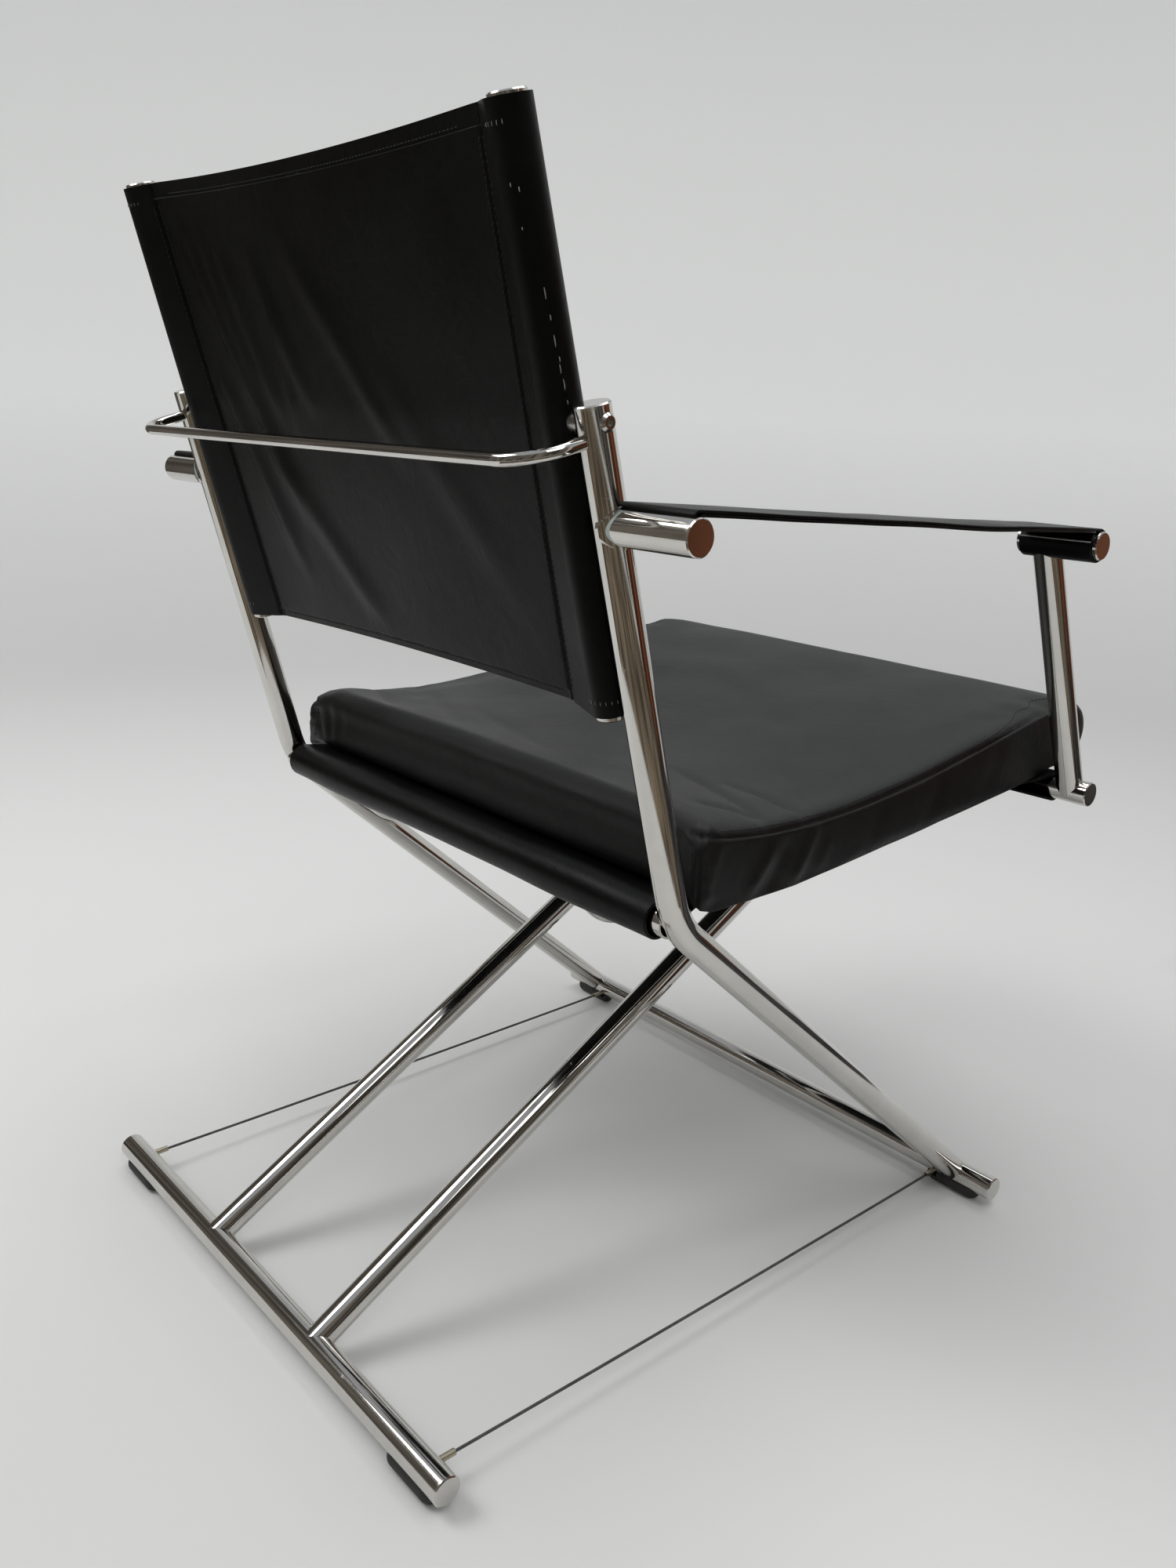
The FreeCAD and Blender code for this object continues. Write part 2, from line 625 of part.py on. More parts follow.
# Rear arm stubs on the uprights: chrome saddle, plastic saddle, slotted tube, plug and screw.
bosses = []
saddles = []
plugs = []
screws = []
hem_rods = []
stub_caps = []
upright_base = seat_axis
hem = stub + V(0, 0, size("hem_rise"))
slot_half = size("strap_thick") / 2 + size("slot_side_room")
boss_text = "Dims.tube_radius + Dims.boss_thick"
saddle_text = "Dims.tube_radius + Dims.boss_thick + Dims.saddle_thick"
upright_text = "%s + Dims.past" % whole_upright[0]
for side, sign in SIDES:
    outward = V(sign, 0, 0)
    axis_point = at_x(stub, sign * size("side_x"))
    upright_start = at_x(upright_base, sign * size("side_x"))
    around_boss = rod("around_boss_" + side, boss_text, upright_text, upright_start, up_way)
    around_saddle = rod("around_saddle_" + side, saddle_text, upright_text, upright_start, up_way)
    boss_blank = rod("boss_blank_" + side, cell("boss_radius"), PAST, axis_point, outward)
    boss_skin = common("boss_skin_" + side, boss_blank, around_boss)
    bosses.append(cut("arm_boss_" + side, boss_skin, side_solids[side], stub_hole))
    saddle_blank = rod("saddle_blank_" + side, cell("saddle_radius"), PAST, axis_point, outward)
    saddle_skin = common("saddle_skin_" + side, saddle_blank, around_saddle)
    saddles.append(cut("arm_saddle_" + side, saddle_skin, around_boss, stub_hole))

    node = "rear_arm_tube_" + side
    stub_length = "Dims.stub_outer_x - Dims.cap_thick - Dims.side_x"
    blank = tube(node + "_blank", TUBE, STUB_BORE, stub_length, axis_point, outward)
    slot_x = min(
        sign * (size("tab_inner_x") - size("slot_end_room")),
        sign * (size("tab_outer_x") + size("slot_end_room")),
    )
    slot = block(
        node + "_slot",
        "Dims.tab_outer_x - Dims.tab_inner_x + 2 * Dims.slot_end_room",
        "Dims.strap_thick + 2 * Dims.slot_side_room",
        PAST,
        FreeCAD.Placement(V(slot_x, stub.y - slot_half, stub.z), FreeCAD.Rotation()),
    )
    keep(node, cut(node, blank, around_saddle, slot))
    stub_caps.append((at_x(stub, sign * (size("stub_outer_x") - cap_thick)), outward))

    plug_base = at_x(stub, sign * (size("side_x") + size("plug_start")))
    plug = tube(
        "arm_plug_" + side,
        STUB_BORE,
        "Dims.screw_radius + Dims.screw_hole_room",
        cell("plug_length"),
        plug_base,
        outward,
    )
    plugs.append(plug)
    screw_base = at_x(stub, sign * (size("side_x") + size("screw_seat")))
    screws.append(
        cap(
            "arm_screw_" + side,
            cell("screw_head"),
            cell("screw_head_high"),
            cell("screw_radius"),
            "Dims.plug_start + Dims.plug_length - Dims.screw_seat",
            cell("cap_edge"),
            along(screw_base, V(-sign, 0, 0)),
        )
    )
    hem_rods.append(
        rod(
            "arm_hem_rod_" + side,
            cell("hem_rod_radius"),
            "Dims.tab_outer_x - Dims.tab_inner_x",
            at_x(hem, sign * size("tab_inner_x")),
            outward,
        )
    )
keep("arm_bosses", group("arm_bosses", bosses))
keep("arm_saddles", group("arm_saddles", saddles))
keep("rear_arm_plugs", group("rear_arm_plugs", plugs))
keep("arm_screws", group("arm_screws", screws))
keep("arm_hem_rods", group("arm_hem_rods", hem_rods))
end_caps("rear_arm_caps", TUBE, STUB_BORE, cell("stub_cap_plug"), stub_caps)

# Back pivots: button-head bolts, nuts, spacers and the bushes that turn on the bolts.
bolts = []
nuts = []
spacers = []
bushes = []
for side, sign in SIDES:
    outward = V(sign, 0, 0)
    inward = V(-sign, 0, 0)
    seat = at_x(pivot, sign * (size("side_x") + tube_radius - size("bolt_sink")))
    bolt = cap(
        "pivot_bolt_blank_" + side,
        cell("bolt_head"),
        cell("bolt_head_high"),
        cell("screw_radius"),
        cell("bolt_length"),
        cell("bolt_head_edge"),
        along(seat, outward),
    )
    socket = doc.addObject("Part::Prism", "socket_" + side)
    socket.Polygon = 6
    bind(socket, "Circumradius", cell("socket_radius"))
    bind(socket, "Height", PAST)
    socket_base = seat + outward * (size("bolt_head_high") - size("socket_deep"))
    socket.Placement = along(socket_base, outward)
    bolts.append(cut("pivot_bolt_" + side, bolt, socket))

    bush_base = at_x(pivot, sign * (size("back_x") + size("bush_start")))
    nut = doc.addObject("Part::Prism", "nut_blank_" + side)
    nut.Polygon = 6
    bind(nut, "Circumradius", cell("nut_radius"))
    bind(nut, "Height", cell("nut_high"))
    nut.Placement = along(bush_base + inward * size("leather_gap"), inward)
    nut_hole = rod("nut_hole_" + side, cell("screw_radius"), PAST, bush_base, inward)
    nuts.append(cut("pivot_nut_" + side, nut, nut_hole))

    spacer_start = at_x(pivot, sign * (size("back_x") + tube_radius + size("leather_gap")))
    spacer_text = "Dims.side_x - Dims.back_x - Dims.tube_radius"
    spacer_blank = tube(
        "spacer_blank_" + side,
        cell("spacer_radius"),
        "Dims.screw_radius + Dims.screw_hole_room",
        spacer_text,
        spacer_start,
        outward,
    )
    spacers.append(cut("pivot_spacer_" + side, spacer_blank, side_solids[side]))

    flange = rod(
        "bush_flange_" + side,
        cell("bush_flange"),
        cell("bush_flange_high"),
        bush_base,
        outward,
    )
    neck = rod(
        "bush_neck_" + side,
        cell("bush_neck"),
        "Dims.tube_radius - Dims.bush_start",
        bush_base,
        outward,
    )
    back_bore = rod(
        "bush_room_" + side,
        BORE,
        "2 * Dims.past",
        at_x(pivot, sign * size("back_x")) - up_way * past,
        up_way,
    )
    bush = fuse("bush_blank_" + side, common("bush_seat_" + side, flange, back_bore), neck)
    bushes.append(cut("pivot_bush_" + side, bush, pivot_hole))
keep("pivot_bolts", group("pivot_bolts", bolts))
keep("pivot_nuts", group("pivot_nuts", nuts))
keep("pivot_spacers", group("pivot_spacers", spacers))
keep("pivot_bushes", group("pivot_bushes", bushes))

# Rubber pads under the foot bars, notched in front for the floor wires.
floor = block(
    "floor",
    "2 * (Dims.seat_front_half + Dims.past)",
    "2 * (Dims.seat_front_half + Dims.rear_foot_y)",
    PAST,
    FreeCAD.Placement(
        V(-size("seat_front_half") - past, -size("seat_front_half") - size("rear_foot_y"), -past),
        FreeCAD.Rotation(),
    ),
)


def foot_pad(node, bar, bar_solid, middle, *notches):
    """Half-round rubber strip with round ends, hollowed to the bar and flat on the floor."""
    straight = size("pad_length") - 2 * size("pad_radius")
    axis_y = bar.y + size("pad_shift")
    start = V(middle - straight / 2, axis_y, size("pad_axis_z"))
    strip = rod(
        node + "_strip",
        cell("pad_radius"),
        "Dims.pad_length - 2 * Dims.pad_radius",
        start,
        X_AXIS,
    )
    balls = []
    for index, x in enumerate((start.x, start.x + straight), start=1):
        ball = doc.addObject("Part::Sphere", "%s_end%d" % (node, index))
        bind(ball, "Radius", cell("pad_radius"))
        ball.Placement.Base = V(x, start.y, start.z)
        balls.append(ball)
    blank = fuse(node + "_blank", strip, *balls)
    keep(node, cut(node, blank, bar_solid, floor, *notches))


for side, sign in SIDES:
    notch = block(
        "pad_notch_" + side,
        cell("pad_notch"),
        PAST,
        "Dims.tube_radius",
        FreeCAD.Placement(
            V(
                sign * size("wire_front_x") - size("pad_notch") / 2,
                front_foot.y + size("pad_shift"),
                size("wire_front_z") - tube_radius / 2,
            ),
            FreeCAD.Rotation(),
        ),
    )
    middle = sign * size("front_pad_x")
    foot_pad("front_pad_" + side, front_foot, front_foot_solid, middle, notch, side_solids[side])
    foot_pad("rear_pad_" + side, rear_foot, rear_foot_solid, sign * size("rear_pad_x"))

# Floor wires that stop the legs spreading, with a crimped sleeve at each end.
front_crimps = []
rear_crimps = []
wire_drop = size("front_foot_z") - size("wire_front_z")
wire_reach = math.sqrt(tube_radius**2 - (wire_drop - size("ferrule_radius")) ** 2)
crimp_gap = size("leather_gap")
wire_text = (
    "sqrt((Dims.wire_rear_x - Dims.wire_front_x)^2"
    " + (Dims.rear_foot_y - Dims.front_foot_y - Dims.tube_radius - 2 * Dims.leather_gap"
    " - sqrt(Dims.tube_radius^2"
    " - (Dims.front_foot_z - Dims.wire_front_z - Dims.ferrule_radius)^2))^2"
    " + (Dims.rear_foot_z - Dims.wire_front_z)^2)"
)
for side, sign in SIDES:
    rear_end = V(
        sign * size("wire_rear_x"),
        rear_foot.y - tube_radius - crimp_gap,
        rear_foot.z,
    )
    front_end = V(
        sign * size("wire_front_x"),
        front_foot.y + wire_reach + crimp_gap,
        size("wire_front_z"),
    )
    way = (front_end - rear_end).normalize()
    node = "floor_wire_" + side
    keep(node, rod(node, cell("wire_radius"), wire_text, rear_end, way))
    crimp_bore = "Dims.wire_radius + Dims.leather_gap"
    for name, crimps, end, ahead, bar_solid in (
        ("rear_crimp_", rear_crimps, rear_end, way, rear_foot_solid),
        ("front_crimp_", front_crimps, front_end, way * -1, front_foot_solid),
    ):
        blank = tube(
            name + "blank_" + side,
            cell("ferrule_radius"),
            crimp_bore,
            "Dims.ferrule_length + Dims.ferrule_radius",
            end - ahead * size("ferrule_radius"),
            ahead,
        )
        crimps.append(cut(name + side, blank, bar_solid))
keep("front_wire_ferrules", group("front_wire_ferrules", front_crimps))
keep("rear_wire_ferrules", group("rear_wire_ferrules", rear_crimps))

# Inner legs from the rear foot bar to the seat front bar.
leg_span = span("rear_foot", "seat_front")
for side, sign in SIDES:
    node = "inner_leg_" + side
    base = at_x(rear_foot, sign * size("leg_x"))
    blank = tube(node + "_blank", TUBE, BORE, leg_span[0], base, seat_front - rear_foot)
    keep(node, cut(node, blank, rear_foot_solid, seat_front_solid))

# Arm posts and front arm tubes.
post_span = span("seat_front", "arm_front")
arm_solid = full_width_rod("arm_solid", TUBE, arm_front)
arm_ends = []
for side, sign in SIDES:
    node = "arm_post_" + side
    base = at_x(seat_front, sign * size("post_x"))
    post_bore = "Dims.post_radius - Dims.tube_wall"
    blank = tube(
        node + "_blank", cell("post_radius"), post_bore, post_span[0], base, arm_front - seat_front
    )
    keep(node, cut(node, blank, seat_front_solid, arm_solid))
    node = "front_arm_tube_" + side
    inner_end = at_x(arm_front, sign * (size("arm_inner_x") + cap_thick))
    outer_end = at_x(arm_front, sign * (size("arm_outer_x") - cap_thick))
    arm_length = "Dims.arm_outer_x - Dims.arm_inner_x - 2 * Dims.cap_thick"
    keep(node, tube(node, TUBE, BORE, arm_length, inner_end, V(sign, 0, 0)))
    arm_ends.append((inner_end, V(-sign, 0, 0)))
    arm_ends.append((outer_end, V(sign, 0, 0)))
end_caps("front_arm_caps", TUBE, BORE, cell("cap_plug"), arm_ends)

# Rails under the sling, hinged on the rear seat bar by eyes with plastic bearings.
eye_solid = full_width_rod("eye_solid", cell("eye_radius"), seat_axis)
rail_rear = point("rail_rear")
rail_front = point("rail_front")
rail_ways = (
    (rail_rear - seat_axis).normalize(),
    (rail_front - rail_rear).normalize(),
    (seat_front - rail_front).normalize(),
)
slope_text = "atan2(Dims.{0}_z - Dims.{1}_z; Dims.{1}_y - Dims.{0}_y)"
rail_slopes = (
    slope_text.format("rail_rear", "seat_axis"),
    slope_text.format("rail_front", "rail_rear"),
    slope_text.format("seat_front", "rail_front"),
)
rail_turns = [
    ("%s - %s" % (rail_slopes[1], rail_slopes[0]), math.degrees(rail_ways[0].getAngle(rail_ways[1]))),
    ("%s - %s" % (rail_slopes[2], rail_slopes[1]), math.degrees(rail_ways[1].getAngle(rail_ways[2]))),
]
rail_runs = [
    span("seat_axis", "rail_rear"),
    span("rail_rear", "rail_front"),
    span("rail_front", "seat_front"),
]
rail_inward = V(0, rail_ways[0].z, -rail_ways[0].y)
bearings = []
for side, sign in SIDES:
    node = "seat_rail_" + side
    place = placed(at_x(seat_axis, sign * size("rail_x")), rail_ways[0], rail_inward)
    rail_bore = "Dims.rail_radius - Dims.rail_wall"
    outer = pipe(node + "_outer", cell("rail_radius"), rail_runs, rail_turns, "rail_bend", place)
    inner = pipe(node + "_bore", rail_bore, rail_runs, rail_turns, "rail_bend", place)
    keep(node, cut(node, outer, inner, eye_solid, seat_front_solid))
    node = "hinge_eye_" + side
    start = at_x(seat_axis, sign * size("rail_x") - size("eye_width") / 2)
    keep(
        node,
        tube(node, cell("eye_radius"), cell("bearing_radius"), cell("eye_width"), start, X_AXIS),
    )
    start = at_x(seat_axis, sign * size("rail_x") - size("bearing_width") / 2)
    bearings.append(
        tube(
            "hinge_bearing_" + side,
            cell("bearing_radius"),
            "Dims.tube_radius + Dims.bearing_room",
            cell("bearing_width"),
            start,
            X_AXIS,
        )
    )
keep("hinge_bearings", group("hinge_bearings", bearings))

# Sling seat: a sleeve on each bar and a sheet that sags between the tops of the sleeves.
sling_half = size("sling_thick") / 2
rear_mid = size("sling_rear_bore") + sling_half
front_mid = size("sling_front_bore") + sling_half
to_rear = size("sling_arc") + rear_mid
to_front = size("sling_arc") + front_mid
between = seat_front - seat_axis
share = (to_rear**2 - to_front**2 + between.Length**2) / (2 * between.Length)
lift = math.sqrt(to_rear**2 - share**2)
forward = V(between).normalize()
sag_centre = seat_axis + forward * share + V(0, forward.z, -forward.y) * lift


def on_sag(towards, radius):
    """Point of the sag circle on the line from its centre through a bar's axis."""
    return sag_centre + (towards - sag_centre).normalize() * radius


def sag_arc(radius):
    """Arc of the sheet from the rear sleeve to the front one."""
    first = on_sag(seat_axis, radius)
    last = on_sag(seat_front, radius)
    middle = on_sag((first + last) * 0.5, radius)
    return Part.Arc(first, middle, last).toShape(), first, last


lower, lower_rear, lower_front = sag_arc(size("sling_arc") + sling_half)
upper, upper_rear, upper_front = sag_arc(size("sling_arc") - sling_half)
edges = [
    lower,
    Part.LineSegment(lower_front, upper_front).toShape(),
    upper,
    Part.LineSegment(upper_rear, lower_rear).toShape(),
]
profile = Part.Face(Part.Wire(Part.__sortEdges__(edges)))
half_front = size("sling_front_half")
half_rear = size("sling_rear_half")
profile.translate(V(-half_front, 0, 0))
sheet_blank = doc.addObject("Part::Feature", "sling_sheet_blank")
sheet_blank.Shape = profile.extrude(V(2 * half_front, 0, 0))
plan = Part.makePolygon(
    [
        V(-half_rear, seat_axis.y, 0),
        V(half_rear, seat_axis.y, 0),
        V(half_front, seat_front.y, 0),
        V(-half_front, seat_front.y, 0),
        V(-half_rear, seat_axis.y, 0),
    ]
)
plan_solid = doc.addObject("Part::Feature", "sling_plan")
plan_solid.Shape = Part.Face(plan).extrude(V(0, 0, 2 * seat_front.z))
sheet = common("sling_sheet", sheet_blank, plan_solid)
rear_sleeve = tube(
    "sling_rear_sleeve",
    "Dims.sling_rear_bore + Dims.sling_thick",
    cell("sling_rear_bore"),
    "2 * Dims.sling_rear_half",
    at_x(seat_axis, -half_rear),
    X_AXIS,
)
front_sleeve = tube(
    "sling_front_sleeve",
    "Dims.sling_front_bore + Dims.sling_thick",
    cell("sling_front_bore"),
    "2 * Dims.sling_front_half",
    at_x(seat_front, -half_front),
    X_AXIS,
)
sling_whole = fuse("sling_whole", sheet, rear_sleeve, front_sleeve)
slots = []
for side, sign in SIDES:
    room = size("rail_radius") + size("slot_room")
    slots.append(
        block(
            "rail_slot_" + side,
            "2 * (Dims.rail_radius + Dims.slot_room)",
            "Dims.seat_axis_y - Dims.rail_rear_y + 2 * Dims.rail_radius",
            "Dims.seat_axis_z - Dims.rail_rear_z + Dims.past",
            FreeCAD.Placement(
                V(
                    sign * size("rail_x") - room,
                    rail_rear.y - 2 * size("rail_radius"),
                    rail_rear.z - past,
                ),
                FreeCAD.Rotation(),
            ),
        )
    )
    for name, alias, radius in (
        ("leg_slot_", "leg_x", "tube_radius"),
        ("rail_end_slot_", "rail_x", "rail_radius"),
    ):
        slots.append(
            block(
                name + side,
                "2 * (Dims.%s + Dims.slot_room)" % radius,
                PAST,
                PAST,
                FreeCAD.Placement(
                    V(
                        sign * size(alias) - size(radius) - size("slot_room"),
                        seat_front.y - size("slot_room"),
                        seat_front.z + size("sling_front_bore") * math.sin(math.radians(52)) - past,
                    ),
                    FreeCAD.Rotation(),
                ),
            )
        )
slot_set = fuse("sling_slots", *slots)
keep("seat_sling", cut("seat_sling", sling_whole, slot_set))

# Loose cushion: follows the sag of the sling, crowned on top, rounded front and rear.
cushion_front = size("cushion_front_y")
cushion_rear = size("cushion_rear_y")
cushion_length = cushion_rear - cushion_front
cushion_gap = size("cushion_gap")
sleeve_top = seat_front.z + front_mid + sling_half + cushion_gap


def cushion_bottom(y):
    """Height of the cushion's underside: on the sling, then over the front sleeve."""
    if y < upper_front.y:
        return sleeve_top
    radius = size("sling_arc") - sling_half - cushion_gap
    return min(sleeve_top, sag_centre.z - math.sqrt(radius**2 - (y - sag_centre.y) ** 2))


def cushion_thick(y):
    """Height of the side seam: a smooth curve through the rear, middle and front values."""
    place = (cushion_rear - y) / cushion_length
    rear = size("cushion_rear_thick") * (1 - place) * (1 - 2 * place)
    middle = size("cushion_mid_thick") * 4 * place * (1 - place)
    front = size("cushion_front_thick") * place * (2 * place - 1)
    return rear + middle + front


def cushion_round(y):
    """Share of the full section left by the rounding at the front and rear, from 0 to 1."""
    from_front = min(1.0, (y - cushion_front) / size("cushion_nose"))
    from_rear = min(1.0, (cushion_rear - y) / size("cushion_heel"))
    return math.sqrt(1 - (1 - from_front) ** 2) * math.sqrt(1 - (1 - from_rear) ** 2)


def cushion_section(y):
    """Closed outline of the cushion across the chair."""
    fullness = 0.3 + 0.7 * cushion_round(y)
    bottom = cushion_bottom(y)
    thick = cushion_thick(y)
    lowest = bottom + thick * 0.5 * (1 - fullness)
    seam = bottom + thick * 0.5 * (1 + fullness)
    half = size("cushion_half") - size("cushion_corner") * (1 - fullness)
    inner = half - size("cushion_bulge") * fullness
    crest = seam + size("cushion_crown") * fullness
    middle = (lowest + seam) / 2
    bottom_line = Part.LineSegment(V(-inner, y, lowest), V(inner, y, lowest))
    right = Part.Arc(V(inner, y, lowest), V(half, y, middle), V(inner, y, seam))
    top = Part.Arc(V(inner, y, seam), V(0, y, crest), V(-inner, y, seam))
    left = Part.Arc(V(-inner, y, seam), V(-half, y, middle), V(-inner, y, lowest))
    return Part.Wire([each.toShape() for each in (bottom_line, right, top, left)])


NOSE_SHARES = (0.0, 0.12, 0.35, 0.65, 1.0)
BODY_STEPS = 9
stations = [cushion_front + share * size("cushion_nose") for share in NOSE_SHARES]
body_front = upper_front.y
body_rear = cushion_rear - size("cushion_heel")
for step in range(BODY_STEPS):
    stations.append(body_front + (body_rear - body_front) * step / BODY_STEPS)
stations += [cushion_rear - share * size("cushion_heel") for share in reversed(NOSE_SHARES)]
cushion = doc.addObject("Part::Feature", "seat_cushion")
cushion.Shape = Part.makeLoft([cushion_section(y) for y in sorted(stations)], True, False)
keep("seat_cushion", cushion)

# Arm straps: looped round the front arm tube, lying on the rear stub, hemmed through its slot.
loop_text = "Dims.tube_radius + Dims.leather_gap + Dims.loop_thick"
loop_bore = "Dims.tube_radius + Dims.leather_gap"
loop_radius = tube_radius + size("leather_gap") + size("loop_thick")
strap_gap = size("leather_gap")
strap_end = stub.y + size("strap_thick") / 2
strap_top_rear = V(0, strap_end, stub.z + tube_radius + strap_gap + size("strap_thick"))
strap_top_front = arm_front + V(0, 0, loop_radius)
strap_way = (strap_top_rear - strap_top_front).normalize()
strap_top_front = arm_front + V(0, -strap_way.z, strap_way.y) * loop_radius
strap_normal = V(0, -strap_way.z, strap_way.y)
strap_run = "sqrt((Dims.arm_front_y - {0})^2 + (Dims.arm_front_z - {1})^2)".format(
    "%.6f" % strap_top_rear.y, "%.6f" % (strap_top_rear.z - loop_radius)
)
clear_of_arm = full_width_rod("clear_of_arm", loop_bore, arm_front)
strap_width = "Dims.strap_outer_x - Dims.strap_inner_x"
for side, sign in SIDES:
    node = "arm_strap_" + side
    outward = V(sign, 0, 0)
    inner_x = sign * size("strap_inner_x")
    low_x = min(inner_x, sign * size("strap_outer_x"))
    ring = tube(node + "_loop", loop_text, loop_bore, strap_width, at_x(arm_front, inner_x), outward)
    corner = at_x(strap_top_front - strap_normal * size("strap_thick"), low_x)
    plate = block(
        node + "_plate",
        strap_width,
        strap_run,
        cell("strap_thick"),
        placed(corner, strap_normal, X_AXIS),
    )
    upright_clear = rod(
        node + "_upright_clear",
        "Dims.tube_radius + Dims.boss_thick + Dims.leather_gap",
        upright_text,
        at_x(upright_base, sign * size("side_x")),
        up_way,
    )
    plate = cut(node + "_flat", plate, clear_of_arm, upright_clear)
    tab_x = min(sign * size("tab_inner_x"), sign * size("tab_outer_x"))
    tab = block(
        node + "_tab",
        "Dims.tab_outer_x - Dims.tab_inner_x",
        cell("strap_thick"),
        "Dims.tube_radius + Dims.leather_gap + Dims.strap_thick / 2 - Dims.hem_rise",
        FreeCAD.Placement(V(tab_x, stub.y - size("strap_thick") / 2, hem.z), FreeCAD.Rotation()),
    )
    hem_solid = rod(
        node + "_hem",
        cell("hem_radius"),
        "Dims.tab_outer_x - Dims.tab_inner_x",
        at_x(hem, sign * size("tab_inner_x")),
        outward,
    )
    hem_bore = rod(
        node + "_hem_bore",
        "Dims.hem_rod_radius + Dims.leather_gap",
        "Dims.tab_width + 2 * Dims.past",
        at_x(hem, sign * (size("tab_inner_x") - past)),
        outward,
    )
    post_clear = rod(
        node + "_post_clear",
        "Dims.post_radius + Dims.leather_gap",
        post_span[0],
        at_x(seat_front, sign * size("post_x")),
        arm_front - seat_front,
    )
    whole = fuse(node + "_whole", ring, plate, tab, hem_solid)
    keep(node, cut(node, whole, hem_bore, post_clear))

# Back: two tubes on the pivots with a leather panel sleeved over them.
back_length = "Dims.back_below + Dims.back_above - 2 * Dims.cap_thick"
back_ends = []
sleeves = []
holes = []
for side, sign in SIDES:
    node = "back_tube_" + side
    axis_point = at_x(pivot, sign * size("back_x"))
    low_end = axis_point - up_way * (size("back_below") - cap_thick)
    high_end = axis_point + up_way * (size("back_above") - cap_thick)
    blank = tube(node + "_blank", TUBE, BORE, back_length, low_end, up_way)
    neck_hole = rod(
        node + "_neck_hole", cell("bush_neck"), PAST, axis_point, V(sign, 0, 0)
    )
    keep(node, cut(node, blank, neck_hole))
    back_ends.append((low_end, up_way * -1))
    back_ends.append((high_end, up_way))
    sleeve_base = axis_point - up_way * (size("back_below") - size("sleeve_inset"))
    sleeves.append(
        rod(
            "back_sleeve_" + side,
            cell("sleeve_radius"),
            "Dims.back_below + Dims.back_above - 2 * Dims.sleeve_inset",
            sleeve_base,
            up_way,
        )
    )
    holes.append(
        rod(
            "back_sleeve_bore_" + side,
            cell("sleeve_bore"),
            "Dims.back_below + Dims.back_above",
            axis_point - up_way * size("back_below"),
            up_way,
        )
    )
    holes.append(
        rod("back_sleeve_hole_" + side, cell("sleeve_hole"), PAST, axis_point, V(sign, 0, 0))
    )
end_caps("back_tube_caps", TUBE, BORE, cell("cap_plug"), back_ends)

panel = doc.addObject("PartDesign::Body", "back_panel_sheet")
outline = sketch_on(panel, "XZ_Plane", "back_panel_outline")
panel_half = size("back_x")
panel_top = size("back_above") - size("sleeve_inset")
panel_low = size("sleeve_inset") - size("back_below")
left_line = outline.addGeometry(
    Part.LineSegment(V(-panel_half, panel_low, 0), V(-panel_half, panel_top, 0)), False
)
right_line = outline.addGeometry(
    Part.LineSegment(V(panel_half, panel_low, 0), V(panel_half, panel_top, 0)), False
)
dip = size("panel_dip")
rise = size("panel_rise")
top_radius = (panel_half**2 + dip**2) / (2 * dip)
low_radius = (panel_half**2 + rise**2) / (2 * rise)
top_arc = outline.addGeometry(
    turning_arc(
        V(0, panel_top - dip + top_radius, 0),
        V(-panel_half, panel_top, 0),
        V(panel_half, panel_top, 0),
    ),
    False,
)
low_arc = outline.addGeometry(
    turning_arc(
        V(0, panel_low + rise - low_radius, 0),
        V(panel_half, panel_low, 0),
        V(-panel_half, panel_low, 0),
    ),
    False,
)
for line, top_end, low_end in ((left_line, 1, 2), (right_line, 2, 1)):
    outline.addConstraint(Sketcher.Constraint("Vertical", line))
    outline.addConstraint(Sketcher.Constraint("Coincident", line, 2, top_arc, top_end))
    outline.addConstraint(Sketcher.Constraint("Coincident", line, 1, low_arc, low_end))
low_text = "Dims.back_below - Dims.sleeve_inset"
top_text = "Dims.back_above - Dims.sleeve_inset"
arc_text = "(Dims.back_x^2 + Dims.{0}^2) / (2 * Dims.{0})"
for line in (left_line, right_line):
    drive(outline, Sketcher.Constraint("DistanceY", line, 1, -1, 1, -panel_low), low_text)
    drive(outline, Sketcher.Constraint("DistanceY", -1, 1, line, 2, panel_top), top_text)
drive(outline, Sketcher.Constraint("DistanceX", left_line, 1, -1, 1, panel_half), cell("back_x"))
drive(outline, Sketcher.Constraint("DistanceX", -1, 1, right_line, 1, panel_half), cell("back_x"))
for arc, radius, alias in (
    (top_arc, top_radius, "panel_dip"),
    (low_arc, low_radius, "panel_rise"),
):
    drive(outline, Sketcher.Constraint("Radius", arc, radius), arc_text.format(alias))
leaf = panel.newObject("PartDesign::Pad", "back_panel_leaf")
leaf.Profile = outline
bind(leaf, "Length", cell("panel_thick"))
leaf.Midplane = True
panel.Tip = leaf
panel.Placement = placed(pivot, up_way, X_AXIS)
panel_whole = fuse("back_panel_whole", panel, *sleeves)
keep("back_panel", cut("back_panel", panel_whole, *holes))

doc.recompute()

for item in doc.Objects:
    if "Invalid" in item.State or "Error" in item.State:
        raise RuntimeError("%s did not rebuild: %s" % (item.Label, item.State))
for node, piece in nodes.items():
    if piece.Shape.isNull() or not piece.Shape.isValid():
        raise RuntimeError("%s has no valid shape" % node)
    if not piece.Shape.Solids:
        raise RuntimeError("%s has no solid" % node)

os.makedirs("parts", exist_ok=True)
for node, piece in nodes.items():
    piece.Shape.exportStep("parts/%s.step" % node)
    print(node, len(piece.Shape.Solids), round(piece.Shape.Volume, 1))
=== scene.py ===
import math

import bpy
import bmesh
from mathutils import Matrix, Vector, noise
from mathutils.bvhtree import BVHTree


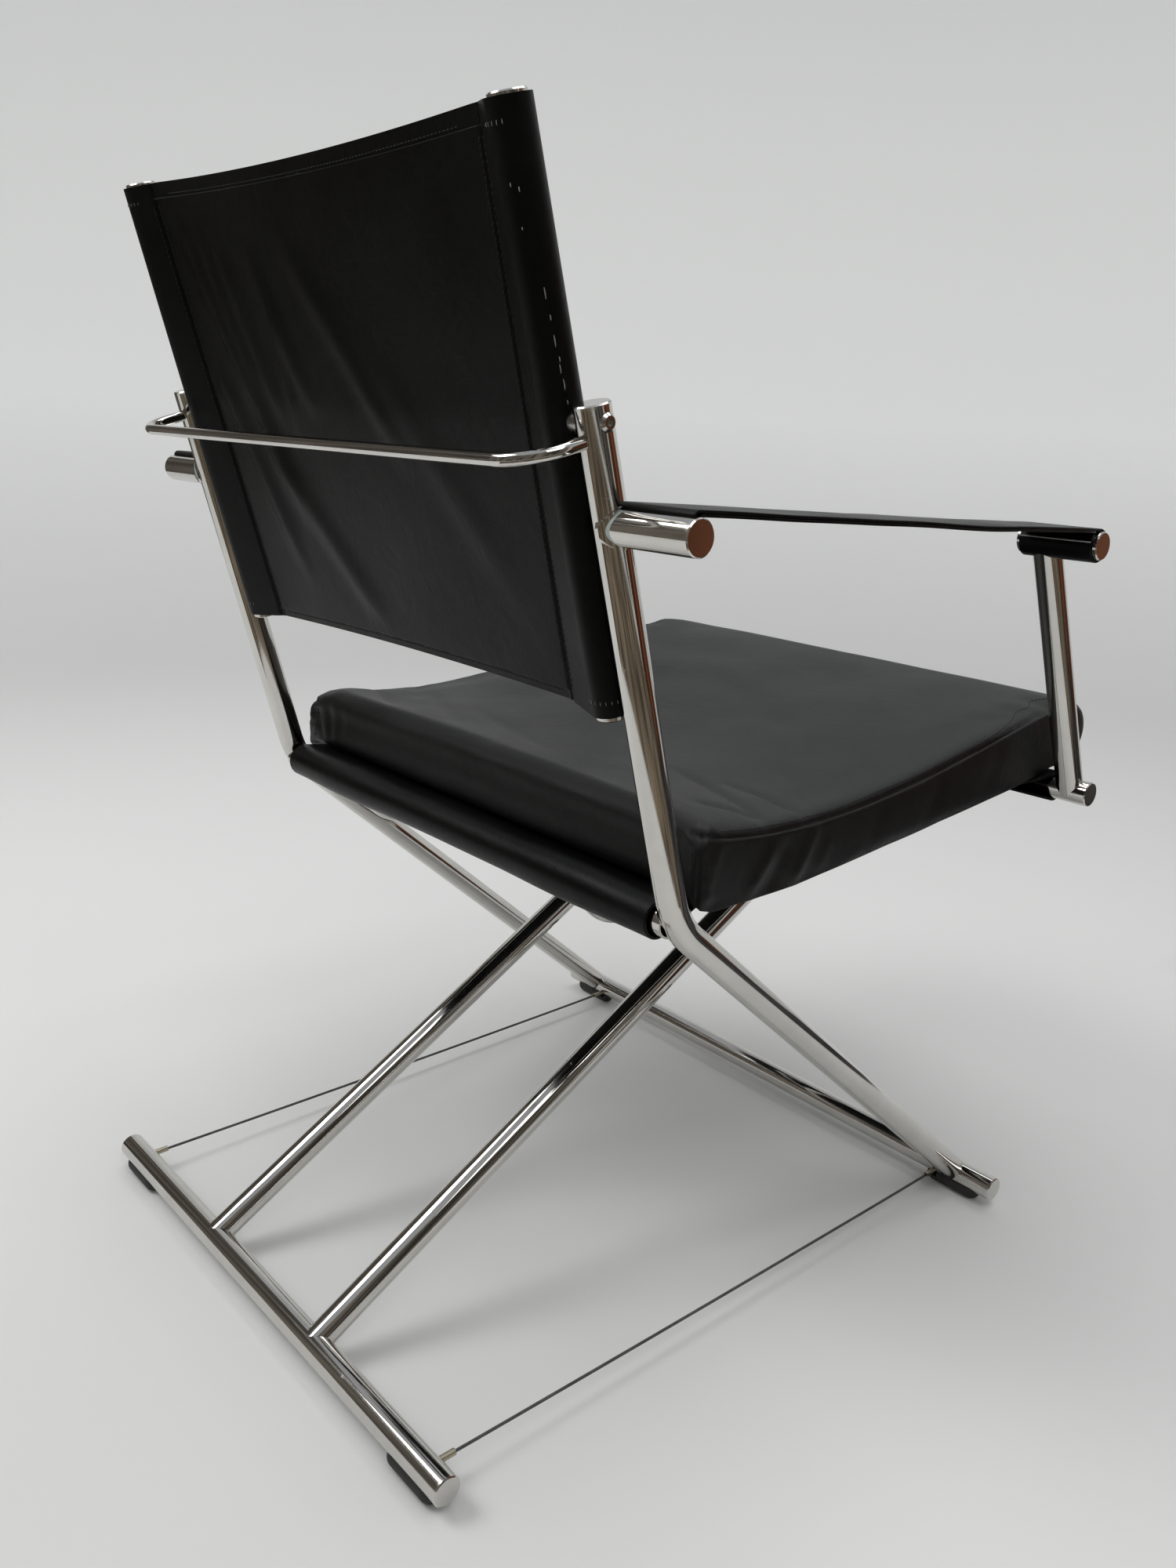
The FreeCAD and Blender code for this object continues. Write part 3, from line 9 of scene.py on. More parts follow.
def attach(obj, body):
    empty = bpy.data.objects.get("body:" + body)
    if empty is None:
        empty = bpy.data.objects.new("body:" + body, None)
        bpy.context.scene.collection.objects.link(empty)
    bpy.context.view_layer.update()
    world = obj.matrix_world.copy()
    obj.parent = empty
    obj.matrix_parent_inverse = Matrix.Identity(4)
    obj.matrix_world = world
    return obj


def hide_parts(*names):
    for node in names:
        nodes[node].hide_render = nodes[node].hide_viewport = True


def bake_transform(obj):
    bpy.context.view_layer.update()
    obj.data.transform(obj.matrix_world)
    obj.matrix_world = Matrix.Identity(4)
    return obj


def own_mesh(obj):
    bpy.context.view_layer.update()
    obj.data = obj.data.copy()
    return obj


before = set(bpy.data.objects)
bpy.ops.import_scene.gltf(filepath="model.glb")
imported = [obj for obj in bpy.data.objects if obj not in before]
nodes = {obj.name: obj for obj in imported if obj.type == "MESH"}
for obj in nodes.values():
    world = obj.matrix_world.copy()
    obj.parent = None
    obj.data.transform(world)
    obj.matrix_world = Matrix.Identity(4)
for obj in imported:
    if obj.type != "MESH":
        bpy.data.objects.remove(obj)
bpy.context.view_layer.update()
MM = 0.001
SIDES = (("left", 1.0), ("right", -1.0))


# Helpers for meshes


def mm(x, y, z):
    """A point given in millimetres."""
    return Vector((x * MM, y * MM, z * MM))


def add_object(name, data):
    piece = bpy.data.objects.new(name, data)
    bpy.context.scene.collection.objects.link(piece)
    return piece


def mesh_piece(name, points, faces, material):
    """A smooth object from points in metres and faces."""
    mesh = bpy.data.meshes.new(name)
    mesh.from_pydata([tuple(p) for p in points], [], faces)
    mesh.validate()
    mesh.shade_smooth()
    mesh.materials.append(material)
    return add_object(name, mesh)


def grid_faces(rows, columns, round_columns=False):
    """Quads of a grid of points stored row by row."""
    faces = []
    for a in range(rows - 1):
        b = a + 1
        for c in range(columns if round_columns else columns - 1):
            d = (c + 1) % columns
            faces.append((a * columns + c, a * columns + d, b * columns + d, b * columns + c))
    return faces


def ring(centre, side, rise, radius, count):
    """Points of a circle in the plane of two directions."""
    turns = (2 * math.pi * i / count for i in range(count))
    return [centre + (side * math.cos(a) + rise * math.sin(a)) * radius for a in turns]


def tube_faces(rings, sides, first=0):
    """Faces of a tube with closed ends, whose rings of points start at an index."""
    faces = grid_faces(rings, sides, round_columns=True)
    faces.append(tuple(range(sides)))
    faces.append(tuple(reversed(range((rings - 1) * sides, rings * sides))))
    return [tuple(first + v for v in face) for face in faces]


def bake(piece):
    """Replaces a piece's mesh with what its modifiers make of it, with smooth faces."""
    bpy.context.view_layer.update()
    graph = bpy.context.evaluated_depsgraph_get()
    mesh = bpy.data.meshes.new_from_object(piece.evaluated_get(graph))
    mesh.shade_smooth()
    piece.modifiers.clear()
    piece.data = mesh


def outward(piece, weld=0.0):
    """Turns all faces of a closed mesh to the outside, with points nearer than weld made one."""
    work = bmesh.new()
    work.from_mesh(piece.data)
    if weld:
        bmesh.ops.remove_doubles(work, verts=work.verts, dist=weld)
    bmesh.ops.recalc_face_normals(work, faces=work.faces)
    work.to_mesh(piece.data)
    work.free()
    return piece


def thicken(piece, thickness, bevel):
    """Gives a sheet its thickness, half to each side, and rounds its cut edges."""
    solid = piece.modifiers.new("thickness", "SOLIDIFY")
    solid.thickness = thickness
    solid.offset = 0.0
    solid.use_even_offset = True
    edge = piece.modifiers.new("edge", "BEVEL")
    edge.width = bevel
    edge.segments = 2
    edge.limit_method = "ANGLE"
    edge.angle_limit = math.radians(50)
    bake(piece)
    return outward(piece)


def finish_piece(piece, body, slot, *replaced):
    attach(piece, body)
    if replaced:
        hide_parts(*replaced)


def smoothstep(low, high, value):
    t = min(1.0, max(0.0, (value - low) / (high - low)))
    return t * t * (3 - 2 * t)


def lerp(a, b, t):
    return a + (b - a) * t


def quarter(share):
    """Height of a quarter circle of radius 1 at a share of its foot, nought beyond it."""
    return math.sqrt(max(0.0, 1 - share**2))


def between(start, end, steps):
    """Points at even steps from one point to another, both included."""
    return [start.lerp(end, i / steps) for i in range(steps + 1)]


def resample(points, step):
    """Points at even steps along a line of points."""
    out = [points[0].copy()]
    left = step
    for a, b in zip(points, points[1:]):
        run = (b - a).length
        at = left
        while at <= run:
            out.append(a.lerp(b, at / run))
            at += step
        left = at - run
    return out


# Materials


class Shader:
    """A material with its nodes, built up by short calls."""

    def __init__(self, name):
        self.material = bpy.data.materials.new(name)
        self.material.use_nodes = True
        self.tree = self.material.node_tree
        self.place = self.tree.nodes.new("ShaderNodeTexCoord").outputs["Object"]

    def feed(self, socket, value):
        """Gives an input a number, a vector, a colour or what another node puts out."""
        if isinstance(value, (int, float)):
            socket.default_value = value
        elif isinstance(value, tuple):
            socket.default_value = value if socket.type == "VECTOR" else (*value, 1.0)
        else:
            self.tree.links.new(value, socket)

    def node(self, kind, inputs, **settings):
        new = self.tree.nodes.new("ShaderNode" + kind)
        for key, value in settings.items():
            setattr(new, key, value)
        for key, value in inputs.items():
            self.feed(new.inputs[key], value)
        return new

    def scaled(self, x, y, z):
        """Object coordinates stretched along the axes."""
        return self.node("Mapping", {"Vector": self.place, "Scale": (x, y, z)}).outputs["Vector"]

    def noise(self, scale, detail, rough, vector=None, distortion=0.0):
        inputs = {"Vector": vector or self.place, "Scale": scale, "Detail": detail}
        inputs |= {"Roughness": rough, "Distortion": distortion}
        return self.node("TexNoise", inputs).outputs["Fac"]

    def cells(self, scale):
        inputs = {"Vector": self.place, "Scale": scale}
        return self.node("TexVoronoi", inputs, feature="DISTANCE_TO_EDGE").outputs["Distance"]

    def spread(self, value, low, high, to_low=0.0, to_high=1.0):
        """Maps a range of a value to another range."""
        inputs = {"Value": value, "From Min": low, "From Max": high, "To Min": to_low, "To Max": to_high}
        return self.node("MapRange", inputs).outputs["Result"]

    def math(self, operation, a, b):
        return self.node("Math", {0: a, 1: b}, operation=operation).outputs["Value"]

    def blend(self, factor, a, b):
        """Mixes two colours by a value."""
        return self.node("Mix", {"Factor": factor, 6: a, 7: b}, data_type="RGBA").outputs[2]

    def bump(self, height, strength, distance, under=None):
        inputs = {"Height": height, "Strength": strength, "Distance": distance}
        if under is not None:
            inputs["Normal"] = under
        return self.node("Bump", inputs).outputs["Normal"]

    def set(self, **values):
        bsdf = self.tree.nodes["Principled BSDF"]
        for key, value in values.items():
            self.feed(bsdf.inputs[key.replace("_", " ")], value)
        return self.material


def chrome_material(name, tint, rough):
    """Polished plating: hazy patches, hairline scratches and small dull specks."""
    s = Shader(name)
    haze = s.noise(22.0, 5.0, 0.6)
    fine = s.noise(420.0, 2.0, 0.5)
    specks = s.noise(160.0, 3.0, 0.65)
    dull = s.spread(specks, 0.66, 0.72)
    roughness = s.spread(haze, 0.35, 0.75, *rough)
    roughness = s.math("ADD", roughness, s.math("MULTIPLY", dull, 0.10))
    dim = tuple(c * 0.86 for c in tint)
    colour = s.blend(s.spread(haze, 0.4, 0.8), tint, dim)
    hair = s.noise(30.0, 6.0, 0.7, s.scaled(3.0, 40.0, 40.0))
    normal = s.bump(hair, 0.02, 0.0004)
    normal = s.bump(fine, 0.015, 0.0002, normal)
    return s.set(Base_Color=colour, Metallic=1.0, Roughness=roughness, Normal=normal)


def leather_material(name, dark, light, rough, grain, wrinkle, gloss):
    """Black hide: pebbled grain, fine creases, soft sheen and rubbed lighter places."""
    s = Shader(name)
    pebbles = s.cells(grain)
    pores = s.noise(grain * 2.6, 2.0, 0.5)
    crease = s.noise(wrinkle, 6.0, 0.62, s.scaled(1.0, 1.4, 0.7), 0.8)
    cloud = s.noise(9.0, 4.0, 0.55)
    rub = s.noise(60.0, 5.0, 0.7)
    colour = s.blend(s.spread(cloud, 0.3, 0.75), dark, light)
    worn = s.spread(rub, 0.62, 0.85, 0.0, 0.5)
    colour = s.blend(worn, colour, tuple(c * 1.5 for c in light))
    roughness = s.spread(cloud, 0.3, 0.7, *rough)
    roughness = s.math("ADD", roughness, s.math("MULTIPLY", pores, 0.06))
    height = s.spread(pebbles, 0.0, 0.25)
    normal = s.bump(crease, 0.28, 0.0016)
    normal = s.bump(height, 0.16, 0.00025, normal)
    normal = s.bump(pores, 0.12, 0.0001, normal)
    return s.set(Base_Color=colour, Roughness=roughness, Normal=normal, Specular_IOR_Level=gloss)


def plain_material(name, dark, light, rough, scale, depth, metal):
    """Rubber, moulded plastic, thread or bare steel with mottling and a fine surface."""
    s = Shader(name)
    cloud = s.noise(scale, 5.0, 0.6)
    fine = s.noise(scale * 14.0, 2.0, 0.5)
    colour = s.blend(s.spread(cloud, 0.3, 0.75), dark, light)
    roughness = s.spread(cloud, 0.3, 0.75, *rough)
    normal = s.bump(fine, 0.25, depth)
    return s.set(Base_Color=colour, Roughness=roughness, Metallic=metal, Normal=normal)


chrome = chrome_material("chrome_plate", (0.64, 0.625, 0.595), (0.05, 0.12))
cap_chrome = chrome_material("chrome_cap", (0.66, 0.645, 0.615), (0.12, 0.20))

# Dark and light colour, range of roughness, mottling per metre, depth of the surface in metres, metal
PLAIN = {
    "bare_steel": ((0.36, 0.35, 0.33), (0.46, 0.45, 0.43), (0.24, 0.38), 60.0, 0.0001, 1.0),
    "bolt_steel": ((0.55, 0.54, 0.52), (0.66, 0.65, 0.63), (0.16, 0.28), 80.0, 0.00006, 1.0),
    "wire_steel": ((0.085, 0.085, 0.085), (0.16, 0.16, 0.16), (0.42, 0.56), 90.0, 0.0001, 0.6),
    "crimp_metal": ((0.40, 0.36, 0.27), (0.50, 0.46, 0.36), (0.28, 0.42), 120.0, 0.0001, 1.0),
    "pad_rubber": ((0.010, 0.010, 0.010), (0.024, 0.024, 0.023), (0.58, 0.78), 120.0, 0.0004, 0.0),
    "grey_plastic": ((0.27, 0.31, 0.30), (0.35, 0.39, 0.375), (0.36, 0.48), 50.0, 0.0001, 0.0),
    "bearing_plastic": ((0.014, 0.014, 0.014), (0.026, 0.026, 0.026), (0.40, 0.55), 70.0, 0.0001, 0.0),
    "black_thread": ((0.005, 0.005, 0.0055), (0.012, 0.012, 0.0125), (0.55, 0.70), 300.0, 0.0002, 0.0),
    "worn_thread": ((0.10, 0.10, 0.095), (0.26, 0.26, 0.25), (0.60, 0.75), 300.0, 0.0002, 0.0),
    # pale grey colour of the thin line along the arm straps' loops
    "pale_loop_line": ((0.20, 0.195, 0.185), (0.34, 0.33, 0.32), (0.50, 0.65), 200.0, 0.0002, 0.0),
}
plain = {name: plain_material(name, *values) for name, values in PLAIN.items()}

SADDLE_COLOURS = (0.0010, 0.0011, 0.0011), (0.0028, 0.0030, 0.0029)
saddle = leather_material("saddle_leather", *SADDLE_COLOURS, (0.30, 0.42), 900.0, 46.0, 0.135)
CUSHION_COLOURS = (0.0012, 0.0013, 0.0016), (0.0030, 0.0032, 0.0036)
upholstery = leather_material("cushion_leather", *CUSHION_COLOURS, (0.40, 0.50), 1050.0, 60.0, 0.36)

SLOT_MATERIALS = {
    "chrome_tube": chrome,
    "plain_steel": plain["bare_steel"],
    "black_rubber": plain["pad_rubber"],
    "grey_plastic": plain["grey_plastic"],
    "bearing_plastic": plain["bearing_plastic"],
    "black_saddle_leather": saddle,
    "cushion_leather": upholstery,
}
NODE_MATERIALS = {
    "pivot_bolts": plain["bolt_steel"],
    "arm_screws": plain["bolt_steel"],
    "front_wire_ferrules": plain["crimp_metal"],
    "rear_wire_ferrules": plain["crimp_metal"],
}
for place in ("front_foot", "rear_foot", "seat_bar", "rear_arm", "front_arm", "upright", "back_tube"):
    NODE_MATERIALS[place + "_caps"] = cap_chrome


def slot_of(piece):
    """The record's slot that a node of the frame carries."""
    names = [slot.material.name.split(".")[0] for slot in piece.material_slots if slot.material]
    return next((name for name in names if name in SLOT_MATERIALS), "chrome_tube")


for name, piece in nodes.items():
    material = NODE_MATERIALS.get(name) or SLOT_MATERIALS[slot_of(piece)]
    for slot in piece.material_slots:
        slot.material = material


# Lines of the chair, from the frame's sizes

PIVOT = mm(0, 274.794, 695.523)
SEAT_AXIS = mm(0, 185.1, 373.4)
SEAT_FRONT = mm(0, -289.5, 394.4)
ARM_FRONT = mm(0, -186.5, 617.9)
# Along the uprights
UP = Vector((0, 277.6 - 185.1, 705.6 - 373.4)).normalized()
REAR = Vector((0, UP.z, -UP.y))
STUB = mm(0, 277.6, 705.6) - UP * 69.66 * MM


# Back: leather sewn into a sleeve round each tube

BACK_X = 228.8 * MM
BACK_TOP = 163.8 * MM
BACK_LOW = -181.0 * MM
SEAM_TOP = 206.0 * MM
SEAM_LOW = 193.0 * MM
PANEL_LAYER = 1.05 * MM
SLEEVE_MID = 12.35 * MM
LEATHER = 2.0 * MM
TOP_HEM = 11.0 * MM
LOW_HEM = 7.0 * MM
# Shares across the panel, close together at the seams
PANEL_SHARES = [0.0, 0.003, 0.0065, 0.012]
PANEL_SHARES += [lerp(0.022, 0.978, i / 63) for i in range(64)] + [0.988, 0.9935, 0.997]
PANEL_COLUMNS = len(PANEL_SHARES)
SLEEVE_LINE = 9
SEAM_CROWDING = 1.7
BACK_SEAM_SINK = 1.5 * MM
BACK_SEAM_WIDTH = 1.5 * MM
HEM_PRESS = 0.9 * MM
HEM_SINK = 0.9 * MM
HEM_LINE = 0.1 * MM
BACK_BEVEL = 0.5 * MM
SLEEVE_ARC = 26
LOW_BOW = 3.5 * MM
TOP_BOW = 4.5 * MM
SLACK = 1.4 * MM
# Soft folds of the panel: start and end as shares across and down, depth in millimetres, width as a share
BACK_FOLDS = (
    ((0.07, 0.10), (0.25, 0.70), 3.4, 0.026),
    ((0.13, 0.12), (0.21, 0.46), 2.4, 0.018),
    ((0.19, 0.14), (0.26, 0.50), 2.8, 0.020),
    ((0.30, 0.16), (0.38, 0.46), 3.0, 0.022),
    ((0.33, 0.26), (0.30, 0.52), 2.0, 0.016),
    ((0.43, 0.15), (0.66, 0.56), 3.0, 0.030),
    ((0.04, 0.36), (0.20, 0.86), 2.6, 0.024),
    ((0.18, 0.55), (0.46, 0.95), 2.4, 0.034),
    ((0.58, 0.30), (0.90, 0.80), 1.5, 0.045),
)


def back_seam(up):
    """Distance of the sleeve's seam from the middle at a height on the back."""
    return lerp(SEAM_LOW, SEAM_TOP, (up - BACK_LOW) / (BACK_TOP - BACK_LOW))


def back_section(up):
    """Closed line across the back at a height: points as (across, towards the rear)."""
    seam = back_seam(up)
    start = math.pi - math.acos(SLEEVE_MID / (BACK_X - seam))
    foot = (BACK_X + SLEEVE_MID * math.cos(start), SLEEVE_MID * math.sin(start))
    half = [(lerp(-seam, seam, share), PANEL_LAYER) for share in PANEL_SHARES]
    for i in range(SLEEVE_LINE):
        t = (i / SLEEVE_LINE) ** SEAM_CROWDING
        half.append((lerp(seam, foot[0], t), lerp(PANEL_LAYER, foot[1], t)))
    for i in range(SLEEVE_ARC + 1):
        angle = lerp(start, -start, i / SLEEVE_ARC)
        half.append((BACK_X + SLEEVE_MID * math.cos(angle), SLEEVE_MID * math.sin(angle)))
    for i in range(1, SLEEVE_LINE):
        t = 1 - (1 - i / SLEEVE_LINE) ** SEAM_CROWDING
        half.append((lerp(foot[0], seam, t), lerp(-foot[1], -PANEL_LAYER, t)))
    return half + [(-across, -towards) for across, towards in half]


def back_height(share, across):
    """Height on the back for a share from its lower to its upper edge."""
    seam = back_seam(0.0)
    bow = max(0.0, 1 - (across / seam) ** 2)
    return lerp(BACK_LOW + LOW_BOW * bow, BACK_TOP - TOP_BOW * bow, share)


def back_shares():
    """Shares of the height, close together at the edges and at the seams of the hems."""
    tall = BACK_TOP - BACK_LOW
    low, top = LOW_HEM / tall, 1 - TOP_HEM / tall
    near = (-0.004, -0.0015, 0.0, 0.0015, 0.004)
    steps = 54
    middle = [lerp(low + 0.012, top - 0.012, i / steps) for i in range(steps + 1)]
    shares = [0.0, 0.0012, 0.004, *(low + off for off in near), *middle]
    return shares + [*(top + off for off in near), 0.996, 0.9988, 1.0]


def stroke(at, start, end, width):
    """Height of a fold at a place: 1 on its line, falling off sideways and at its ends."""
    run = (end[0] - start[0], end[1] - start[1])
    long = run[0] ** 2 + run[1] ** 2
    t = ((at[0] - start[0]) * run[0] + (at[1] - start[1]) * run[1]) / long
    side = ((at[0] - start[0]) * run[1] - (at[1] - start[1]) * run[0]) / math.sqrt(long)
    ends = smoothstep(-0.15, 0.25, t) * smoothstep(1.15, 0.75, t)
    lean = (side / width) ** 2
    return ends * math.exp(-lean) * (1 - 0.7 * side / width * math.exp(-lean * 0.5))


def fold_depth(folds, at):
    """Depth of a table of folds at a place."""
    return sum(depth * stroke(at, start, end, width) for start, end, depth, width in folds)


def back_relief(across, share, rear):
    """Height of the folds and the slackness on a face of the back, in metres."""
    seam = back_seam(0.0)
    if abs(across) > seam:
        return 0.0
    place = ((seam - across) / (2 * seam), 1 - share)
    calm = smoothstep(0.0, 0.05, place[0]) * smoothstep(1.0, 0.95, place[0])
    calm *= smoothstep(0.0, 0.10, share) * smoothstep(1.0, 0.90, share)
    height = fold_depth(BACK_FOLDS, place) * MM
    drift = noise.noise(Vector((across * 9, share * 3.1, 2.0 if rear else 7.0)))
    return calm * (height + SLACK * drift)


def back_point(across, up, towards):
    return PIVOT + Vector((1, 0, 0)) * across + UP * up + REAR * towards


def build_back():
    shares = back_shares()
    tall = BACK_TOP - BACK_LOW
    half = PANEL_COLUMNS + 2 * SLEEVE_LINE + SLEEVE_ARC
    points = []
    for share in shares:
        up = lerp(BACK_LOW, BACK_TOP, share)
        for index, (across, towards) in enumerate(back_section(up)):
            rear = index < PANEL_COLUMNS
            seam_gap = (abs(across) - back_seam(up)) / BACK_SEAM_WIDTH
            sink = BACK_SEAM_SINK * math.exp(-seam_gap * seam_gap)
            if index % half < PANEL_COLUMNS:
                from_edge = min(share * tall - LOW_HEM, (1 - share) * tall - TOP_HEM)
                if abs(from_edge) < HEM_LINE:
                    sink += HEM_SINK
                elif from_edge < 0:
                    sink = abs(sink - HEM_PRESS)
                towards += back_relief(across, share, rear)
            towards -= sink if rear or towards > 0 else -sink
            points.append(back_point(across, back_height(share, across), towards))
    faces = grid_faces(len(shares), 2 * half, round_columns=True)
    piece = mesh_piece("back_leather", points, faces, saddle)
    return thicken(piece, LEATHER, BACK_BEVEL)


back_leather = build_back()
finish_piece(back_leather, "backrest", "black_saddle_leather", "back_panel")


# Sling: a sheet that sags between the tops of its two sleeves

SLING_THICK = 2.4 * MM
SLING_ARC = 1250.0 * MM
REAR_MID = 13.7 * MM
FRONT_MID = 12.6 * MM
HALF_REAR = 242.0 * MM
HALF_FRONT = 267.0 * MM
SIDE_FLARE = 0.86
FLAP = 46.0 * MM
FLAP_BELOW = 1.02 * SLING_THICK
EDGE_BAND = 2.0 * MM
SLING_WAVE = 0.5 * MM
SLING_BEVEL = 0.6 * MM
FLAP_STEPS = 7
SLEEVE_STEPS = 34
SHEET_STEPS = 60


def sag_circle():
    """Centre of the circle that the sheet follows over both sleeves."""
    to_rear, to_front = SLING_ARC + REAR_MID, SLING_ARC + FRONT_MID
    between = SEAT_FRONT - SEAT_AXIS
    share = (to_rear**2 - to_front**2 + between.length_squared) / (2 * between.length)
    lift = math.sqrt(to_rear**2 - share**2)
    forward = between.normalized()
    return SEAT_AXIS + forward * share + Vector((0, forward.z, -forward.y)) * lift


SAG = sag_circle()


def on_sheet(y, lift=0.0):
    """Point of the sling's middle surface at a depth, raised above it by lift."""
    radius = SLING_ARC - lift
    return Vector((0, y, SAG.z - math.sqrt(radius**2 - (y - SAG.y) ** 2)))


def round_bar(centre, radius, start, end, steps):
    """Points round a bar between two angles, measured from +Y towards +Z."""
    return [
        centre + Vector((0, math.cos(a), math.sin(a))) * radius
        for a in (lerp(start, end, i / steps) for i in range(steps + 1))
    ]


def tangent_angle(centre, radius, point, side):
    """Angle on a bar where the straight line from a point touches it."""
    away = point - centre
    base = math.atan2(away.z, away.y)
    return base + side * math.acos(radius / away.length)


def sling_line():
    """Line of the sling from its rear flap to its front one, each point with the part it lies on."""
    rear_flap = on_sheet(SEAT_AXIS.y - FLAP, -FLAP_BELOW)
    front_flap = on_sheet(SEAT_FRONT.y + FLAP, -FLAP_BELOW)
    touch = tangent_angle(SEAT_AXIS, REAR_MID, rear_flap, 1.0)
    rear_top = math.atan2(SAG.z - SEAT_AXIS.z, SAG.y - SEAT_AXIS.y) + 2 * math.pi
    front_top = math.atan2(SAG.z - SEAT_FRONT.z, SAG.y - SEAT_FRONT.y)
    leave = tangent_angle(SEAT_FRONT, FRONT_MID, front_flap, -1.0) + 2 * math.pi
    rear_round = round_bar(SEAT_AXIS, REAR_MID, touch, rear_top, SLEEVE_STEPS)
    front_round = round_bar(SEAT_FRONT, FRONT_MID, front_top, leave, SLEEVE_STEPS)
    first, last = rear_round[-1].y, front_round[0].y
    line = [(place, "flap") for place in between(rear_flap, rear_round[0], FLAP_STEPS)[:-1]]
    line += [(place, "rear") for place in rear_round]
    for i in range(1, SHEET_STEPS):
        line.append((on_sheet(lerp(first, last, i / SHEET_STEPS)), "sheet"))
    front_round += between(front_round[-1], front_flap, FLAP_STEPS)[1:]
    return line + [(place, "front") for place in front_round]


# The rear sleeve swells where it covers the hinge eyes
EYE_X = 150.0 * MM
EYE_MID = 15.1 * MM
EYE_NEAR = 10.0 * MM
EYE_FAR = 80.0 * MM


def over_eye(place, x):
    """A point of the sling at a distance from the middle, lifted clear of a hinge eye under it."""
    away = place - SEAT_AXIS
    if away.length >= EYE_MID:
        return place
    near = smoothstep(EYE_FAR, EYE_NEAR, abs(abs(x) - EYE_X))
    return SEAT_AXIS + away.normalized() * lerp(away.length, EYE_MID, near)


# Openings for the rails and the inner legs: part, middle across, half width, rear and upper limit
SLOTS = (
    ("front", 82.5, 14.0, SEAT_FRONT.y + 60 * MM, SEAT_FRONT.z + 8.4 * MM),
    ("front", 150.0, 11.0, SEAT_FRONT.y + 60 * MM, SEAT_FRONT.z + 8.4 * MM),
    ("rear", 150.0, 11.0, SEAT_AXIS.y + 2 * MM, SEAT_AXIS.z),
)
SLOT_FRONT = SEAT_FRONT.y - 3 * MM


def build_sling():
    line = sling_line()
    edges = {s * (m + e * h) for _, m, h, _, _ in SLOTS for s in (-1, 1) for e in (-1, 1)}
    columns = [c * MM for c in sorted(edges | {float(v) for v in range(-225, 226, 15)})]
    points = []
    for place, _ in line:
        share = (SEAT_AXIS.y - place.y) / (SEAT_AXIS.y - SEAT_FRONT.y)
        half = lerp(HALF_REAR, HALF_FRONT, smoothstep(SIDE_FLARE, 1.0, share))
        for x in [-half, EDGE_BAND - half, *columns, half - EDGE_BAND, half]:
            wave = SLING_WAVE * noise.noise(Vector((x * 14, place.y * 9, 3.3)))
            points.append(over_eye(place, x) + Vector((x, 0, wave)))
    count = len(columns) + 4
    faces = []
    for face in grid_faces(len(line), count):
        middle = sum((points[v] for v in face), Vector()) / 4
        part = line[face[0] // count][1]
        if not any(
            part == where
            and abs(abs(middle.x) - across * MM) < half * MM
            and SLOT_FRONT < middle.y < rear
            and middle.z < top
            for where, across, half, rear, top in SLOTS
        ):
            faces.append(face)
    piece = mesh_piece("sling_leather", points, faces, saddle)
    return thicken(piece, SLING_THICK, SLING_BEVEL)


sling = build_sling()
finish_piece(sling, "seat_frame", "black_saddle_leather", "seat_sling")


# Cushion: a long panel wrapped over front, top and rear, with a panel sewn in at each side

CUSHION_HALF = 258.0 * MM
CUSHION_FRONT = -356.0 * MM
CUSHION_REAR = 167.0 * MM
CUSHION_LIFT = 1.0 * MM
SLEEVE_TOP = SEAT_FRONT.z + FRONT_MID + SLING_THICK / 2 + CUSHION_LIFT
# Height of the upper side seam at depths from rear to front, in millimetres
SEAM_LINE = (
    (200, 438), (167, 432.5), (150, 429), (120, 424.5), (85, 421.5), (47, 420.5), (0, 422), (-50, 426.5),
    (-99, 432.5), (-183, 446.5), (-269, 462), (-320, 467), (-380, 470),
)
# Height of the lower edge of the sides, which hang past the sling at the rear and lift off it further on
EDGE_LINE = (
    (200, 379), (167, 377), (150, 375.5), (102, 375), (67, 375.2), (31, 377.5), (-9, 380.2), (-60, 384.5),
    (-112, 389), (-154, 392.3), (-190, 395.5), (-221, 398.5), (-250, 402.5), (-290, 409.2), (-380, 409.2),
)
SHOULDER = 8.0 * MM
SHOULDER_FRONT = 2.5 * MM
SHOULDER_FROM = -310.0 * MM
SHOULDER_FULL = -160.0 * MM
ROUND = 15.0 * MM
CROWN = 2.5 * MM
NOSE = 48.0 * MM
NOSE_POWER = 0.8
HEEL = 15.0 * MM
TOE = 5.0 * MM
FRONT_CORNER = 14.0 * MM
REAR_CORNER = 7.0 * MM
CUSHION_STEPS = 70
NOSE_STEPS = 14
HEEL_STEPS = 6
WELD = 0.02 * MM
PANEL_STATIONS = 58
ROUND_STEPS = 6
SIDE_SHARES = (0.0, 0.03, 0.08, 0.15, 0.24, 0.34, 0.45, 0.56, 0.67, 0.77, 0.86, 0.93, 0.97, 1.0)


def cushion_bottom(y):
    if y < SEAT_FRONT.y + 2 * MM:
        return SLEEVE_TOP
    return min(SLEEVE_TOP, on_sheet(y, SLING_THICK / 2 + CUSHION_LIFT).z)


def table_height(table, y):
    """Height at a depth on a smooth line through a table of depths and heights."""
    at = y / MM
    index = 0
    while index < len(table) - 2 and table[index + 1][0] > at:
        index += 1

    def slope(i):
        a, b = table[max(i - 1, 0)], table[min(i + 1, len(table) - 1)]
        return (b[1] - a[1]) / (b[0] - a[0])

    (y0, z0), (y1, z1) = table[index], table[index + 1]
    run = y1 - y0
    t = (at - y0) / run
    rise = (2 * t**3 - 3 * t**2 + 1) * z0 + (3 * t**2 - 2 * t**3) * z1
    rise += run * ((t**3 - 2 * t**2 + t) * slope(index) + (t**3 - t**2) * slope(index + 1))
    return rise * MM


